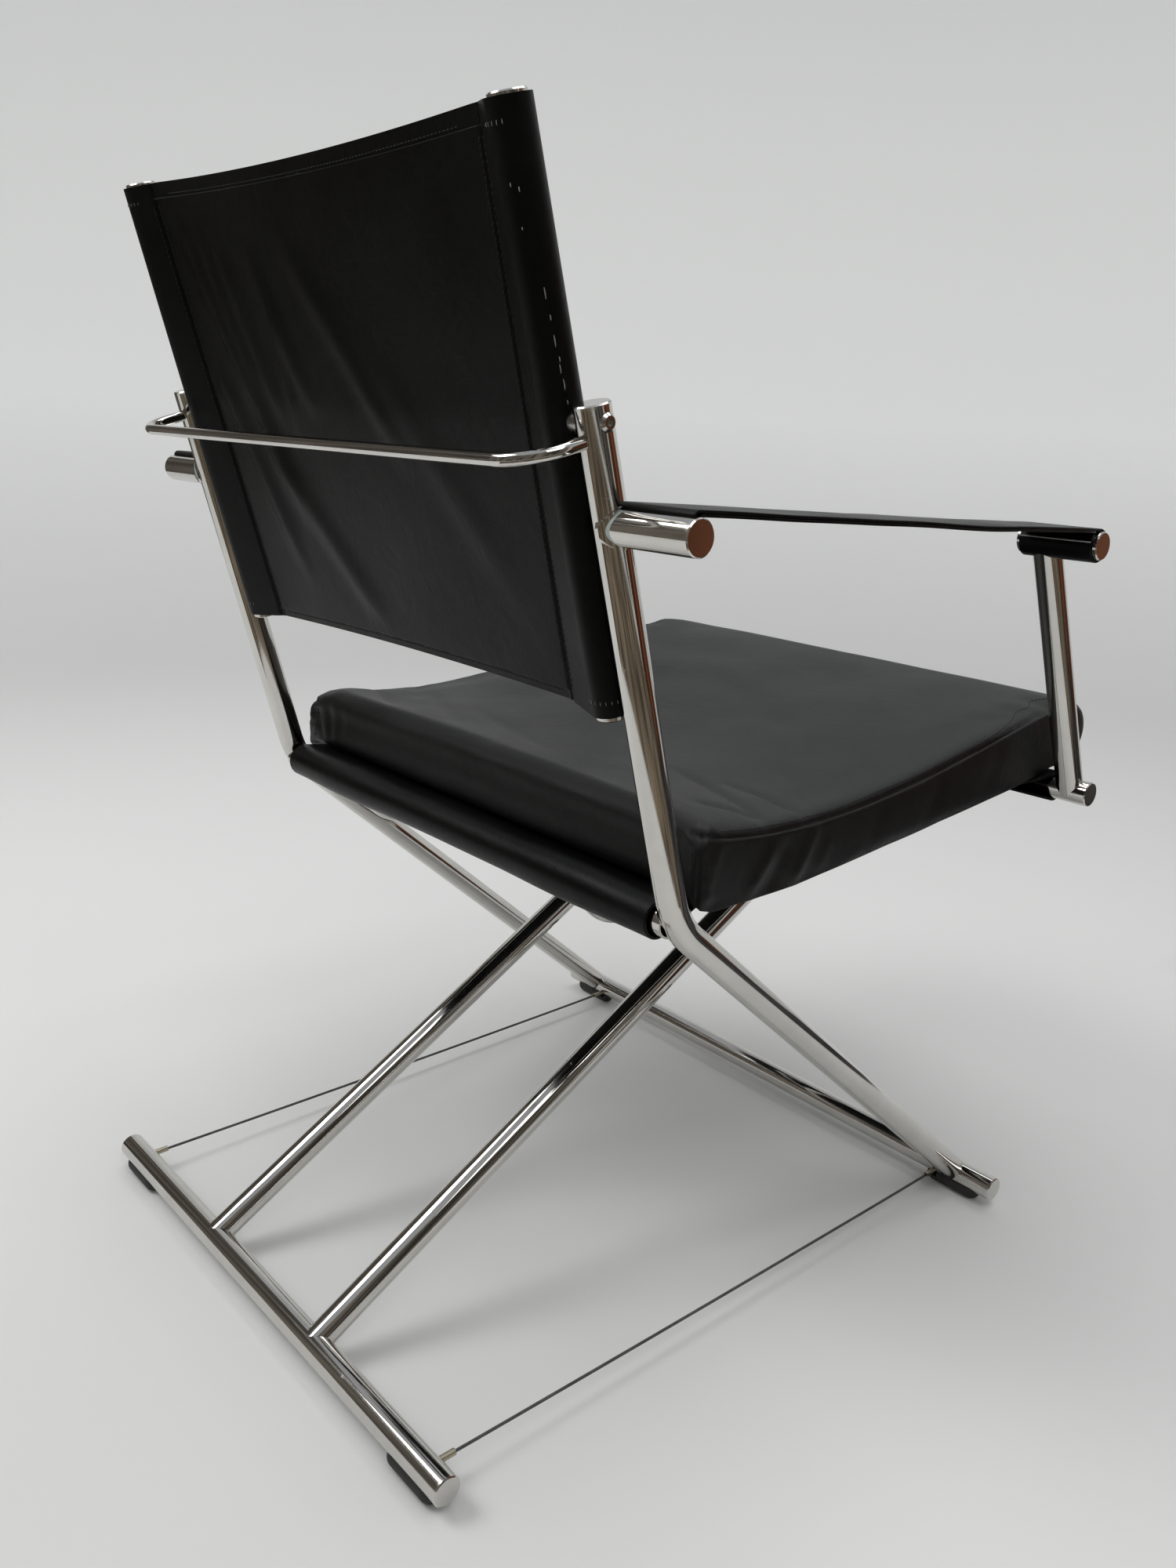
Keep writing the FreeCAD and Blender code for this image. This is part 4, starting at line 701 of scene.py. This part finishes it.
def cushion_seam(y):
    return table_height(SEAM_LINE, y)


def side_round(across, radius):
    """Share that a rounding of the cushion's sides leaves at a distance from the middle."""
    return quarter(max(0.0, abs(across) - (CUSHION_HALF - radius)) / radius)


def cushion_top(across, y):
    shoulder = lerp(SHOULDER_FRONT, SHOULDER, smoothstep(SHOULDER_FROM, SHOULDER_FULL, y))
    crown = CROWN * (1 - (across / CUSHION_HALF) ** 2)
    return cushion_seam(y) + (shoulder + crown) * side_round(across, ROUND)


def cushion_lines(across):
    """Lower and upper line of the cushion from front to rear, and its front and rear curve upwards."""
    front = CUSHION_FRONT + FRONT_CORNER * (1 - side_round(across, FRONT_CORNER))
    rear = CUSHION_REAR - REAR_CORNER * (1 - side_round(across, REAR_CORNER))
    past_sling = smoothstep(HALF_REAR + 2 * MM, CUSHION_HALF - 1 * MM, abs(across))
    low, high = [], []
    for i in range(CUSHION_STEPS + 1):
        y = lerp(front + NOSE, rear - TOE, i / CUSHION_STEPS)
        low.append(Vector((across, y, lerp(cushion_bottom(y), table_height(EDGE_LINE, y), past_sling))))
        y = lerp(front + NOSE, rear - HEEL, i / CUSHION_STEPS)
        high.append(Vector((across, y, cushion_top(across, y))))
    nose, heel = [], []
    for share in SIDE_SHARES:
        z = lerp(low[0].z, high[0].z, share)
        reach = quarter(2 * share - 1) ** NOSE_POWER
        nose.append(Vector((across, front + NOSE - NOSE * reach, z)))
        z = lerp(low[-1].z, high[-1].z, share)
        up = max(0.0, z - (high[-1].z - HEEL)) / HEEL
        down = max(0.0, low[-1].z + TOE - z) / TOE
        y = rear - HEEL * (1 - quarter(up)) - TOE * (1 - quarter(down))
        heel.append(Vector((across, y, z)))
    return low, high, nose, heel


def side_panel(sign):
    """Points of a side panel in rows from its lower to its upper edge."""
    low, high, nose, heel = cushion_lines(sign * CUSHION_HALF)
    points = []
    for k, share in enumerate(SIDE_SHARES):
        nose_pull = nose[k].y - lerp(low[0].y, high[0].y, share)
        heel_pull = heel[k].y - lerp(low[-1].y, high[-1].y, share)
        for i in range(CUSHION_STEPS + 1):
            place = low[i].lerp(high[i], share)
            place.y += nose_pull * max(0.0, 1 - i / NOSE_STEPS) ** 1.3
            place.y += heel_pull * max(0.0, 1 - (CUSHION_STEPS - i) / HEEL_STEPS)
            points.append(place)
    return points


def cushion_blank():
    """Closed form of the cushion before it swells: the wrapped panel and the two side panels."""
    flat = CUSHION_HALF - ROUND
    stations = [lerp(-flat, flat, i / PANEL_STATIONS) for i in range(PANEL_STATIONS + 1)]
    turn = [flat + ROUND * math.sin(math.pi / 2 * i / ROUND_STEPS) for i in range(1, ROUND_STEPS + 1)]
    stations = [-x for x in reversed(turn)] + stations + turn
    points, count = [], 0
    for across in stations:
        low, high, nose, heel = cushion_lines(across)
        section = low + heel[1:-1] + list(reversed(high)) + list(reversed(nose[1:-1]))
        count = len(section)
        points += section
    faces = grid_faces(len(stations), count, round_columns=True)
    for sign in (-1.0, 1.0):
        first = len(points)
        points += side_panel(sign)
        for face in grid_faces(len(SIDE_SHARES), CUSHION_STEPS + 1):
            faces.append(tuple(first + v for v in face))
    return outward(mesh_piece("seat_cushion_leather", points, faces, upholstery), WELD)


SWELL_CAP = 2.0 * MM
HELD_SIDE = 0.5 * MM
HELD_SEAM = 0.8 * MM
HELD_LOW = 3.0 * MM
SIM_FRAMES = 14
CLOTH = {
    "quality": 6,
    "mass": 0.3,
    "tension_stiffness": 18.0,
    "compression_stiffness": 18.0,
    "shear_stiffness": 6.0,
    "bending_stiffness": 1.2,
    "use_pressure": True,
    "uniform_pressure_force": 3.0,
    "vertex_group_mass": "held",
}


def swell(piece):
    """Cloth under inner pressure, held along the seams and underneath, with its movement limited."""
    rest = [v.co.copy() for v in piece.data.vertices]
    held = piece.vertex_groups.new(name="held")
    for v in piece.data.vertices:
        seam = abs(v.co.x) > CUSHION_HALF - HELD_SIDE and abs(v.co.z - cushion_seam(v.co.y)) < HELD_SEAM
        if seam or v.co.z < cushion_bottom(v.co.y) + HELD_LOW:
            held.add([v.index], 1.0, "REPLACE")
    cloth = piece.modifiers.new("cloth", "CLOTH")
    for key, value in CLOTH.items():
        setattr(cloth.settings, key, value)
    cloth.settings.effector_weights.gravity = 0.0
    cloth.collision_settings.use_collision = False
    cloth.point_cache.frame_end = SIM_FRAMES
    scene = bpy.context.scene
    for step in range(1, SIM_FRAMES + 1):
        scene.frame_set(step)
    bake(piece)
    scene.frame_set(1)
    for v, before in zip(piece.data.vertices, rest):
        move = v.co - before
        if move.length > SWELL_CAP:
            v.co = before + move.normalized() * SWELL_CAP


# Folds of the cushion in millimetres: start, end, depth (below nought for a ridge) and width
TOP_CREASES = (
    ((-128, 64), (-250, 96), 2.0, 7.0),
    ((-175, 57), (-253, 54), 1.7, 6.0),
    ((-200, 116), (-244, 94), 2.0, 6.0),
    ((-172, -12), (-255, 52), 1.2, 7.0),
    ((-225, 140), (-170, 120), -1.4, 7.0),
    ((-60, 120), (110, 70), 1.2, 11.0),
    ((60, 130), (200, 60), 1.3, 10.0),
    ((150, 140), (236, 100), 1.7, 7.0),
    ((180, 92), (250, 40), 1.5, 7.0),
    ((-120, -90), (60, -180), 0.9, 20.0),
    ((110, -20), (220, -120), 0.9, 14.0),
)
SIDE_CREASES = (
    ((88, 412), (114, 378), -2.0, 6.5),
    ((42, 418), (64, 378), -1.9, 6.0),
    ((25, 404), (36, 382), -0.9, 6.0),
    ((148, 424), (160, 380), -1.4, 5.0),
    ((70, 412), (92, 378), 1.2, 8.0),
    ((-40, 420), (-20, 382), 0.8, 12.0),
    ((-120, 432), (-96, 386), 0.8, 12.0),
    ((-205, 446), (-180, 396), 0.7, 12.0),
)
REAR_CREASES = (
    ((244, 428), (226, 396), 1.6, 6.0),
    ((222, 428), (210, 396), 1.4, 6.0),
    ((200, 426), (192, 398), 1.0, 7.0),
    ((-236, 430), (-224, 396), 1.4, 6.0),
    ((40, 392), (-60, 422), 0.8, 18.0),
)
TOP_DRIFT = 1.1
SEAM_PUCKER = 0.35
PUCKER_RISE = 0.5 * MM
CORNER_REACH = 40.0 * MM
CORNER_GATHER = 1.5 * MM
CORNER_FAR = 16.0 * MM
CORNER_NEAR = 8.0 * MM
CORNER_SEAM = 2.2 * MM
CORNER_SINK = 1.6 * MM
SEAM_SINK = 2.4 * MM
SEAM_WIDTH = 1.5 * MM


def press_creases(piece):
    """Presses the folds and the sunken seams into the cushion."""
    mesh = piece.data
    normals = [v.normal.copy() for v in mesh.vertices]
    for v, normal in zip(mesh.vertices, normals):
        at = v.co / MM
        depth = 0.0
        if normal.z > 0.5:
            depth += fold_depth(TOP_CREASES, (at.x, at.y))
            depth += TOP_DRIFT * noise.noise(Vector((at.x * 0.011, at.y * 0.014, 4.0)))
        if abs(normal.x) > 0.6:
            depth += fold_depth(SIDE_CREASES, (at.y, at.z))
        if normal.y > 0.6:
            depth += fold_depth(REAR_CREASES, (at.x, at.z))
        depth *= MM
        if abs(v.co.x) > CUSHION_HALF - ROUND and v.co.y > CUSHION_FRONT + NOSE:
            off = (v.co.z - cushion_seam(v.co.y)) / SEAM_WIDTH
            pucker = SEAM_PUCKER * noise.noise(Vector((at.y * 0.22, at.x * 0.05, 1.0)))
            depth += SEAM_SINK * (1 + pucker) * math.exp(-off * off)
            depth += PUCKER_RISE * pucker * math.exp(-((off - 4) / 3) ** 2)
        to_side, to_rear = CUSHION_HALF - abs(v.co.x), CUSHION_REAR - v.co.y
        corner = math.hypot(to_side, to_rear)
        if corner < CORNER_REACH:
            lean = (to_side - to_rear) / CORNER_SEAM
            depth += CORNER_SINK * math.exp(-lean * lean) * smoothstep(CORNER_FAR, CORNER_NEAR, corner)
            gather = noise.noise(Vector((at.x * 0.15, at.y * 0.15, at.z * 0.12)))
            depth += CORNER_GATHER * gather * math.exp(-((2 * corner / CORNER_REACH) ** 2))
        v.co -= normal * depth


# The cushion lies a little to the left, and its rear left corner is pressed down
LEFT_STRETCH = 1.036
CORNER_PRESS = 7.0 * MM
PRESS_FAR = 46.0 * MM
PRESS_NEAR = 4.0 * MM


def settle(piece):
    """Moves the left half of the cushion outwards and rounds off its rear left corner."""
    for v in piece.data.vertices:
        if v.co.x > 0:
            corner = math.hypot(CUSHION_HALF - v.co.x, CUSHION_REAR - v.co.y)
            high = smoothstep(cushion_bottom(v.co.y), cushion_seam(v.co.y), v.co.z)
            v.co.z -= CORNER_PRESS * high * smoothstep(PRESS_FAR, PRESS_NEAR, corner)
            v.co.x *= LEFT_STRETCH


def build_cushion():
    piece = cushion_blank()
    swell(piece)
    divide = piece.modifiers.new("finer", "SUBSURF")
    divide.levels = 1
    divide.render_levels = 1
    bake(piece)
    press_creases(piece)
    settle(piece)
    return outward(piece)


cushion = build_cushion()
finish_piece(cushion, "seat_frame", "cushion_leather", "seat_cushion")
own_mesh(cushion)


# Threads: rows of short stitches that dip into the leather at both ends, and rubbed places


def thread_mesh(name, ends, ups, thick, material):
    """Threads between pairs of points, each with the surface's normal at its start."""
    points, faces = [], []
    sides, rings = 6, 5
    for index in range(0, len(ends), 2):
        a, b, up = ends[index], ends[index + 1], ups[index]
        across = (b - a).cross(up).normalized()
        first = len(points)
        for step in range(rings):
            t = step / (rings - 1)
            swollen = math.sin(math.pi * (0.08 + 0.84 * t))
            middle = a.lerp(b, t) + up * thick * (0.9 * swollen - 0.35)
            points += ring(middle, across, up, thick * 0.5 * (0.45 + 0.55 * swollen), sides)
        faces += tube_faces(rings, sides, first)
    return outward(mesh_piece(name, points, faces, material))


STITCH_SHARE = 0.7


def stitch_ends(line, normals, pitch):
    """Ends of each stitch along a line, with normals: stitch, gap, stitch, gap."""
    lengths = [0.0]
    for a, b in zip(line, line[1:]):
        lengths.append(lengths[-1] + (b - a).length)
    ends, ups = [], []
    at, index = pitch * 0.5, 0
    while at + pitch < lengths[-1]:
        for part in (0.0, STITCH_SHARE):
            want = at + pitch * part
            while lengths[index + 1] < want:
                index += 1
            t = (want - lengths[index]) / (lengths[index + 1] - lengths[index])
            ends.append(line[index].lerp(line[index + 1], t))
            ups.append(normals[index].lerp(normals[index + 1], t).normalized())
        at += pitch
    return ends, ups


def surface_line(tree, starts, way):
    """Where lines in one direction meet a surface, with its normals there."""
    line, normals = [], []
    for start in starts:
        place, normal, _, _ = tree.ray_cast(start, way)
        if place is not None:
            line.append(place)
            normals.append(normal if normal.dot(way) < 0 else -normal)
    return line, normals


def sew(name, piece, rows, pitch, thick):
    """Stitches on a piece along rows, each given as points off its surface and the way towards it."""
    points = [v.co.copy() for v in piece.data.vertices]
    tree = BVHTree.FromPolygons(points, [list(p.vertices) for p in piece.data.polygons])
    ends, ups = [], []
    for starts, way in rows:
        row_ends, row_ups = stitch_ends(*surface_line(tree, starts, way), pitch)
        ends += row_ends
        ups += row_ups
    return thread_mesh(name, ends, ups, thick, plain["black_thread"])


SEWING_REACH = 0.06
BACK_PITCH, BACK_THREAD = 3.8 * MM, 0.6 * MM
ROW_LOW, ROW_TOP = BACK_LOW + 9 * MM, BACK_TOP - 14 * MM
ROW_HALF = 186.0 * MM
SEAM_ROW = 3.2 * MM
TOP_ROW = TOP_HEM - 2.6 * MM
LOW_ROW = LOW_HEM - 2.4 * MM
heights = [lerp(ROW_LOW, ROW_TOP, i / 80) for i in range(81)]
widths = [lerp(-ROW_HALF, ROW_HALF, i / 90) for i in range(91)]
lines = []
for sign in (1.0, -1.0):
    for inset in (SEAM_ROW, -SEAM_ROW):
        lines.append([(sign * (back_seam(up) - inset), up) for up in heights])
lines.append([(x, back_height(1.0, x) - TOP_ROW) for x in widths])
lines.append([(x, back_height(0.0, x) + LOW_ROW) for x in widths])
rows = []
for face, way in ((1.0, -REAR), (-1.0, REAR)):
    for line in lines:
        rows.append(([back_point(x, up, face * SEWING_REACH) for x, up in line], way))
sewing = sew("back_stitches", back_leather, rows, BACK_PITCH, BACK_THREAD)
finish_piece(sewing, "backrest", "black_saddle_leather")

SLEEVE_FACE = SLEEVE_MID + LEATHER / 2
# Upright stitches at the ends of the sleeves: height of the row and angles round the sleeve
TICK_ROWS = ((BACK_TOP - 13 * MM, range(60, 131, 14)), (BACK_LOW + 9 * MM, range(20, 131, 16)))
TICK, TICK_THREAD = 2.4 * MM, 0.45 * MM
# Rubbed places of the right sleeve: height, angle round the sleeve, length, in millimetres and degrees
RUBS = (
    (122, 66, 2.0), (119, 48, 2.6), (101, 56, 1.6),
    (66, 30, 6.0), (55, 27, 3.0), (41, 26, 6.5), (33, 22, 3.0), (27, 24, 5.0), (18, 21, 6.0), (10, 20, 2.5),
)
RUB_WIDTH = 0.7 * MM


def sleeve_threads(name, marks, thick):
    """Upright pale threads on the back sleeves at marks of side, height, angle and length."""
    ends, ups = [], []
    for sign, up, angle, long in marks:
        a = math.radians(angle)
        away = Vector((sign * math.cos(a), 0, 0)) + REAR * math.sin(a)
        place = back_point(sign * BACK_X, up, 0.0) + away * SLEEVE_FACE
        ends += [place, place + UP * long]
        ups += [away, away]
    piece = thread_mesh(name, ends, ups, thick, plain["worn_thread"])
    finish_piece(piece, "backrest", "black_saddle_leather")


marks = [(sign, up, angle, TICK) for sign in (1.0, -1.0) for up, angles in TICK_ROWS for angle in angles]
sleeve_threads("sleeve_ticks", marks, TICK_THREAD)
marks = [(-1.0, up * MM, angle, long * MM) for up, angle, long in RUBS]
sleeve_threads("sleeve_rubs", marks, RUB_WIDTH)

CUSHION_PITCH, CUSHION_THREAD = 4.0 * MM, 0.65 * MM
CUSHION_ROW = 3.4 * MM
CORNER_ROW = 8.0 * MM
depths = [lerp(146, -306, i / 150) * MM for i in range(151)]
heights = [lerp(391, 424, i / 20) * MM for i in range(21)]
rows = []
for sign in (1.0, -1.0):
    inwards = Vector((-sign, 0, 0))
    far = sign * (CUSHION_HALF + SEWING_REACH)
    beside = sign * (CUSHION_HALF - CORNER_ROW)
    rows.append(([Vector((far, y, cushion_seam(y) + CUSHION_ROW)) for y in depths], inwards))
    rows.append(([Vector((far, CUSHION_REAR - CORNER_ROW, z)) for z in heights], inwards))
    rows.append(([Vector((beside, CUSHION_REAR + SEWING_REACH, z)) for z in heights], Vector((0, -1, 0))))
sewing = sew("cushion_stitches", cushion, rows, CUSHION_PITCH, CUSHION_THREAD)
finish_piece(sewing, "seat_frame", "cushion_leather")
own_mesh(sewing)


# Arm straps: doubled leather, looped round the front arm tube and hemmed into the rear stub

STRAP_INNER = 264.0 * MM
STRAP_OUTER = 324.0 * MM
STRAP_LAYER = 1.75 * MM
LOOP_MID = 12.15 * MM
STRAP_COLUMNS = 14
LOOP_END = math.radians(46)
LINE_ANGLE = math.radians(14)
LINE_RADIUS = 0.5 * MM
LINE_INSET = 0.4 * MM
LINE_SIDES = 8
HEM_HEIGHTS = 3.5 * MM, 9.0 * MM
HALF_HEM = 0.9 * MM
BEND = 3.0 * MM
BEND_STEPS = 6
LAYER_GAP = 1.85 * MM
LAYER_DIP = 0.4 * MM
LOWER_END = 7.4 * MM
STRAP_STEPS = 46
LOOP_STEPS = 44
STRAP_WAVE = 1.6 * MM
STRAP_DROOP = 1.3 * MM
STRAP_RISE = 0.4 * MM
STRAP_BEVEL = 0.45 * MM


def strap_lines():
    """Upper and lower layer of the strap as lines of points, from the rear stub forwards."""
    top_rear = STUB + Vector((0, 1.8 * MM, 14.95 * MM))
    slope = (ARM_FRONT + Vector((0, 0, 12.95 * MM)) - top_rear).normalized()
    up = Vector((0, slope.z, -slope.y))
    upper = [STUB + Vector((0, HALF_HEM, z)) for z in HEM_HEIGHTS]
    centre = top_rear - up * HALF_HEM + (slope - up) * BEND
    for i in range(BEND_STEPS + 1):
        a = math.pi / 2 * i / BEND_STEPS
        upper.append(centre + (up * math.sin(a) - slope * math.cos(a)) * BEND)
    first = upper[-1]
    front_top = ARM_FRONT + up * LOOP_MID
    upper += between(first, front_top, STRAP_STEPS)[1:-1]
    upper += round_bar(ARM_FRONT, LOOP_MID, math.atan2(up.z, up.y), 2 * math.pi + LOOP_END, LOOP_STEPS)
    lower = [STUB + Vector((0, -HALF_HEM, z)) for z in HEM_HEIGHTS]
    low_rear = first + slope * BEND - up * (LAYER_GAP + LAYER_DIP)
    low_front = ARM_FRONT - slope * LOWER_END + up * (LOOP_MID - LAYER_GAP)
    return upper, lower + between(low_rear, low_front, STRAP_STEPS)


def strap_layer(name, line, sign):
    points = []
    for place in line:
        along = (STUB.y - place.y) / (STUB.y - ARM_FRONT.y)
        free = smoothstep(0.02, 0.25, along) * smoothstep(0.98, 0.78, along)
        for column in range(STRAP_COLUMNS + 1):
            share = column / STRAP_COLUMNS
            x = lerp(STRAP_INNER, STRAP_OUTER, share)
            edge = (2 * share - 1) ** 2
            wave = noise.noise(Vector((along * 5.2, 0.7 * sign + 2 * share, 5.0)))
            sag = free * (STRAP_WAVE * wave * (0.35 + edge) - STRAP_DROOP * edge + STRAP_RISE)
            points.append(Vector((sign * x, place.y, place.z + sag)))
    faces = grid_faces(len(line), STRAP_COLUMNS + 1)
    return thicken(mesh_piece(name, points, faces, saddle), STRAP_LAYER, STRAP_BEVEL)


def join(first, *others):
    """One object from several, keeping their materials."""
    with bpy.context.temp_override(active_object=first, selected_editable_objects=[first, *others]):
        bpy.ops.object.join()
    return first


def loop_pale_line(name, sign):
    """Thin pale line along the loop behind the front arm tube."""
    out = LOOP_MID + STRAP_LAYER / 2
    place = ARM_FRONT + Vector((0, math.cos(LINE_ANGLE), math.sin(LINE_ANGLE))) * out
    points = []
    for x in (STRAP_INNER + LINE_INSET, STRAP_OUTER - LINE_INSET):
        centre = Vector((sign * x, place.y, place.z))
        points += round_bar(centre, LINE_RADIUS, 0.0, 2 * math.pi, LINE_SIDES)[:-1]
    return outward(mesh_piece(name, points, tube_faces(2, LINE_SIDES), plain["pale_loop_line"]))


upper_line, lower_line = strap_lines()
for side, sign in SIDES:
    strap = strap_layer("arm_strap_leather_" + side, upper_line, sign)
    under = strap_layer("arm_strap_under_" + side, lower_line, sign)
    strap = join(strap, under, loop_pale_line("arm_strap_pale_line_" + side, sign))
    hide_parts("arm_strap_" + side)
    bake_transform(strap)


# Floor wires: stranded steel from the rear foot bar to the front one

WIRE_REAR = mm(232.0, 356.25, 18.0)
WIRE_FRONT = mm(240.0, -214.64, 12.5)
STRANDS = 6
STRAND_RADIUS = 0.46 * MM
STRAND_ORBIT = 0.79 * MM
STRAND_SIDES = 6
LAY = 17.0 * MM
WIRE_STEP = 1.4 * MM
# Shares along the wire and its drop there in millimetres
WIRE_DROPS = ((0.0, 0.0), (0.04, 0.4), (0.35, 1.6), (0.65, 1.6), (0.965, 0.8), (1.0, 0.0))


def wire_route(sign):
    """Points of the wire's smooth line."""
    start, end = (Vector((sign * p.x, p.y, p.z)) for p in (WIRE_REAR, WIRE_FRONT))
    control = [start.lerp(end, t) - Vector((0, 0, drop * MM)) for t, drop in WIRE_DROPS]
    curve = bpy.data.curves.new("wire_route", "CURVE")
    curve.dimensions = "3D"
    spline = curve.splines.new("NURBS")
    spline.points.add(len(control) - 1)
    for point, place in zip(spline.points, control):
        point.co = (*place, 1.0)
    spline.order_u = 3
    spline.use_endpoint_u = True
    spline.resolution_u = 40
    holder = add_object("wire_route", curve)
    bpy.context.view_layer.update()
    mesh = bpy.data.meshes.new_from_object(holder)
    line = [v.co.copy() for v in mesh.vertices]
    bpy.data.objects.remove(holder)
    return line


def wire_mesh(name, line):
    """Six strands twisted round a core along a line."""
    fine = resample(line, WIRE_STEP)
    points, faces = [], []
    across = Vector((1, 0, 0))
    for strand in range(STRANDS + 1):
        first = len(points)
        orbit = STRAND_ORBIT if strand else 0.0
        for index, place in enumerate(fine):
            ahead = (fine[min(index + 1, len(fine) - 1)] - fine[max(index - 1, 0)]).normalized()
            side = (across - ahead * across.dot(ahead)).normalized()
            rise = ahead.cross(side)
            turn = 2 * math.pi * (index * WIRE_STEP / LAY + strand / STRANDS)
            middle = place + (side * math.cos(turn) + rise * math.sin(turn)) * orbit
            points += ring(middle, side, rise, STRAND_RADIUS, STRAND_SIDES)
        faces += tube_faces(len(fine), STRAND_SIDES, first)
    return outward(mesh_piece(name, points, faces, plain["wire_steel"]))


for side, sign in SIDES:
    route = wire_route(sign)
    wire = wire_mesh("floor_wire_strands_" + side, route)
    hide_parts("floor_wire_" + side)
    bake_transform(wire)


# Floor, light and camera


def revolved(name, profile, start, end, steps, material):
    """Part of the stage: a profile of (radius, height) turned about the upright axis."""
    closed = end - start == 360
    columns = steps if closed else steps + 1
    points = []
    for radius, height in profile:
        for column in range(columns):
            a = math.radians(lerp(start, end, column / steps))
            points.append(Vector((radius * math.cos(a), radius * math.sin(a), height)))
    piece = mesh_piece(name, points, grid_faces(len(profile), columns, closed), material)
    return piece


def painted_light_paper_material(name, low, high):
    """Matt paper with painted light and shade: one paper, darker on the floor and paler where it rises
    behind the chair.
    """
    s = Shader(name)
    parts = s.node("SeparateXYZ", {"Vector": s.place})
    # painted light and shade: the tone goes from the darker floor colour to the paler wall colour with
    # height, standing in for how the light falls on one paper
    rise = s.spread(parts.outputs["Z"], 0.02, 0.7)
    return s.set(Base_Color=s.blend(rise, low, high), Roughness=0.62, Specular_IOR_Level=0.2)


# Round floor that sweeps up into a wall on all sides
FLOOR_FLAT = 2.4
FLOOR_CURVE = 1.4
FLOOR_TURNS = 96
profile = [(r, 0.0) for r in (0.0, 0.4, 0.8, 1.2, 1.6, 2.0, FLOOR_FLAT)]
for i in range(1, 17):
    a = math.pi / 2 * i / 16
    profile.append((FLOOR_FLAT + FLOOR_CURVE * math.sin(a), FLOOR_CURVE - FLOOR_CURVE * math.cos(a)))
profile += [(FLOOR_FLAT + FLOOR_CURVE, h) for h in (1.8, 2.4, 3.2)]
# painted light and shade: the darker colour is the floor's, the paler one the wall's
paper = painted_light_paper_material("floor_paper", (0.68, 0.678, 0.665), (0.93, 0.93, 0.915))
revolved("floor", profile, 0.0, 360.0, FLOOR_TURNS, paper)

ROOM_STEPS, ROOM_ROWS = 48, 6


def room_sheet(name, start, end, near, far, colour, bands):
    """Part of the room that shows only in the chair's gloss, between two (radius, height) lines."""
    s = Shader(name)
    stripe = s.noise(bands, 4.0, 0.6, s.scaled(1.0, 1.0, 0.12))
    tone = s.blend(s.spread(stripe, 0.40, 0.60), tuple(c * 0.18 for c in colour), colour)
    s.set(Base_Color=tone, Roughness=0.9, Specular_IOR_Level=0.1)
    profile = between(Vector(near), Vector(far), ROOM_ROWS)
    sheet = revolved(name, profile, start, end, ROOM_STEPS, s.material)
    sheet.visible_camera = False
    sheet.visible_shadow = False
    sheet.visible_diffuse = False


room_sheet("room_behind", 2.0, 194.0, (2.2, 0.10), (2.2, 2.6), (0.20, 0.175, 0.15), 2.6)
room_sheet("room_right", 198.0, 246.0, (2.1, 0.02), (2.1, 1.5), (0.23, 0.085, 0.042), 3.4)
room_sheet("room_floor", 74.0, 206.0, (0.92, 0.004), (2.2, 0.012), (0.24, 0.19, 0.135), 3.2)
room_sheet("room_side", 206.0, 262.0, (0.92, 0.004), (2.2, 0.012), (0.075, 0.072, 0.072), 3.2)


def area_light(name, place, look_at, size, power):
    """A square light turned towards a place."""
    lamp = bpy.data.lights.new(name, "AREA")
    lamp.size = size
    lamp.energy = power
    holder = add_object(name, lamp)
    way = Vector(look_at) - Vector(place)
    holder.matrix_world = Matrix.Translation(place) @ way.to_track_quat("-Z", "Y").to_matrix().to_4x4()


area_light("key", (1.3, 1.5, 2.5), (0, 0, 0.4), 1.3, 36.0)
area_light("fill", (-1.6, 0.4, 2.6), (0, 0, 0.4), 1.2, 14.0)
area_light("top", (0.1, -0.6, 2.9), (0, 0, 0.3), 1.8, 26.0)

world = bpy.data.worlds.new("studio")
bpy.context.scene.world = world
world.use_nodes = True
background = world.node_tree.nodes["Background"]
background.inputs["Color"].default_value = (0.93, 0.96, 1.0, 1.0)
background.inputs["Strength"].default_value = 0.42

PHOTO_HEIGHT = 2000
FOCAL_PIXELS = 1597.0
SENSOR = 36.0
EYE = -0.792, 0.752, 0.700
YAW, PITCH, ROLL = math.radians(-47.95), math.radians(-16.49), math.radians(2.37)
ahead = Vector((math.cos(PITCH) * -math.sin(YAW), -math.cos(PITCH) * math.cos(YAW), math.sin(PITCH)))
right = ahead.cross(Vector((0, 0, 1))).normalized()
above = right.cross(ahead)
turned_right = right * math.cos(ROLL) + above * math.sin(ROLL)
turned_above = above * math.cos(ROLL) - right * math.sin(ROLL)
lens = bpy.data.cameras.new("camera")
lens.sensor_width = SENSOR
lens.lens = SENSOR * FOCAL_PIXELS / PHOTO_HEIGHT
lens.clip_start = 0.01
camera = add_object("camera", lens)
axes = Matrix((turned_right, turned_above, -ahead)).transposed().to_4x4()
camera.matrix_world = Matrix.Translation(EYE) @ axes
bpy.context.scene.camera = camera
bpy.context.scene.view_settings.view_transform = "Standard"
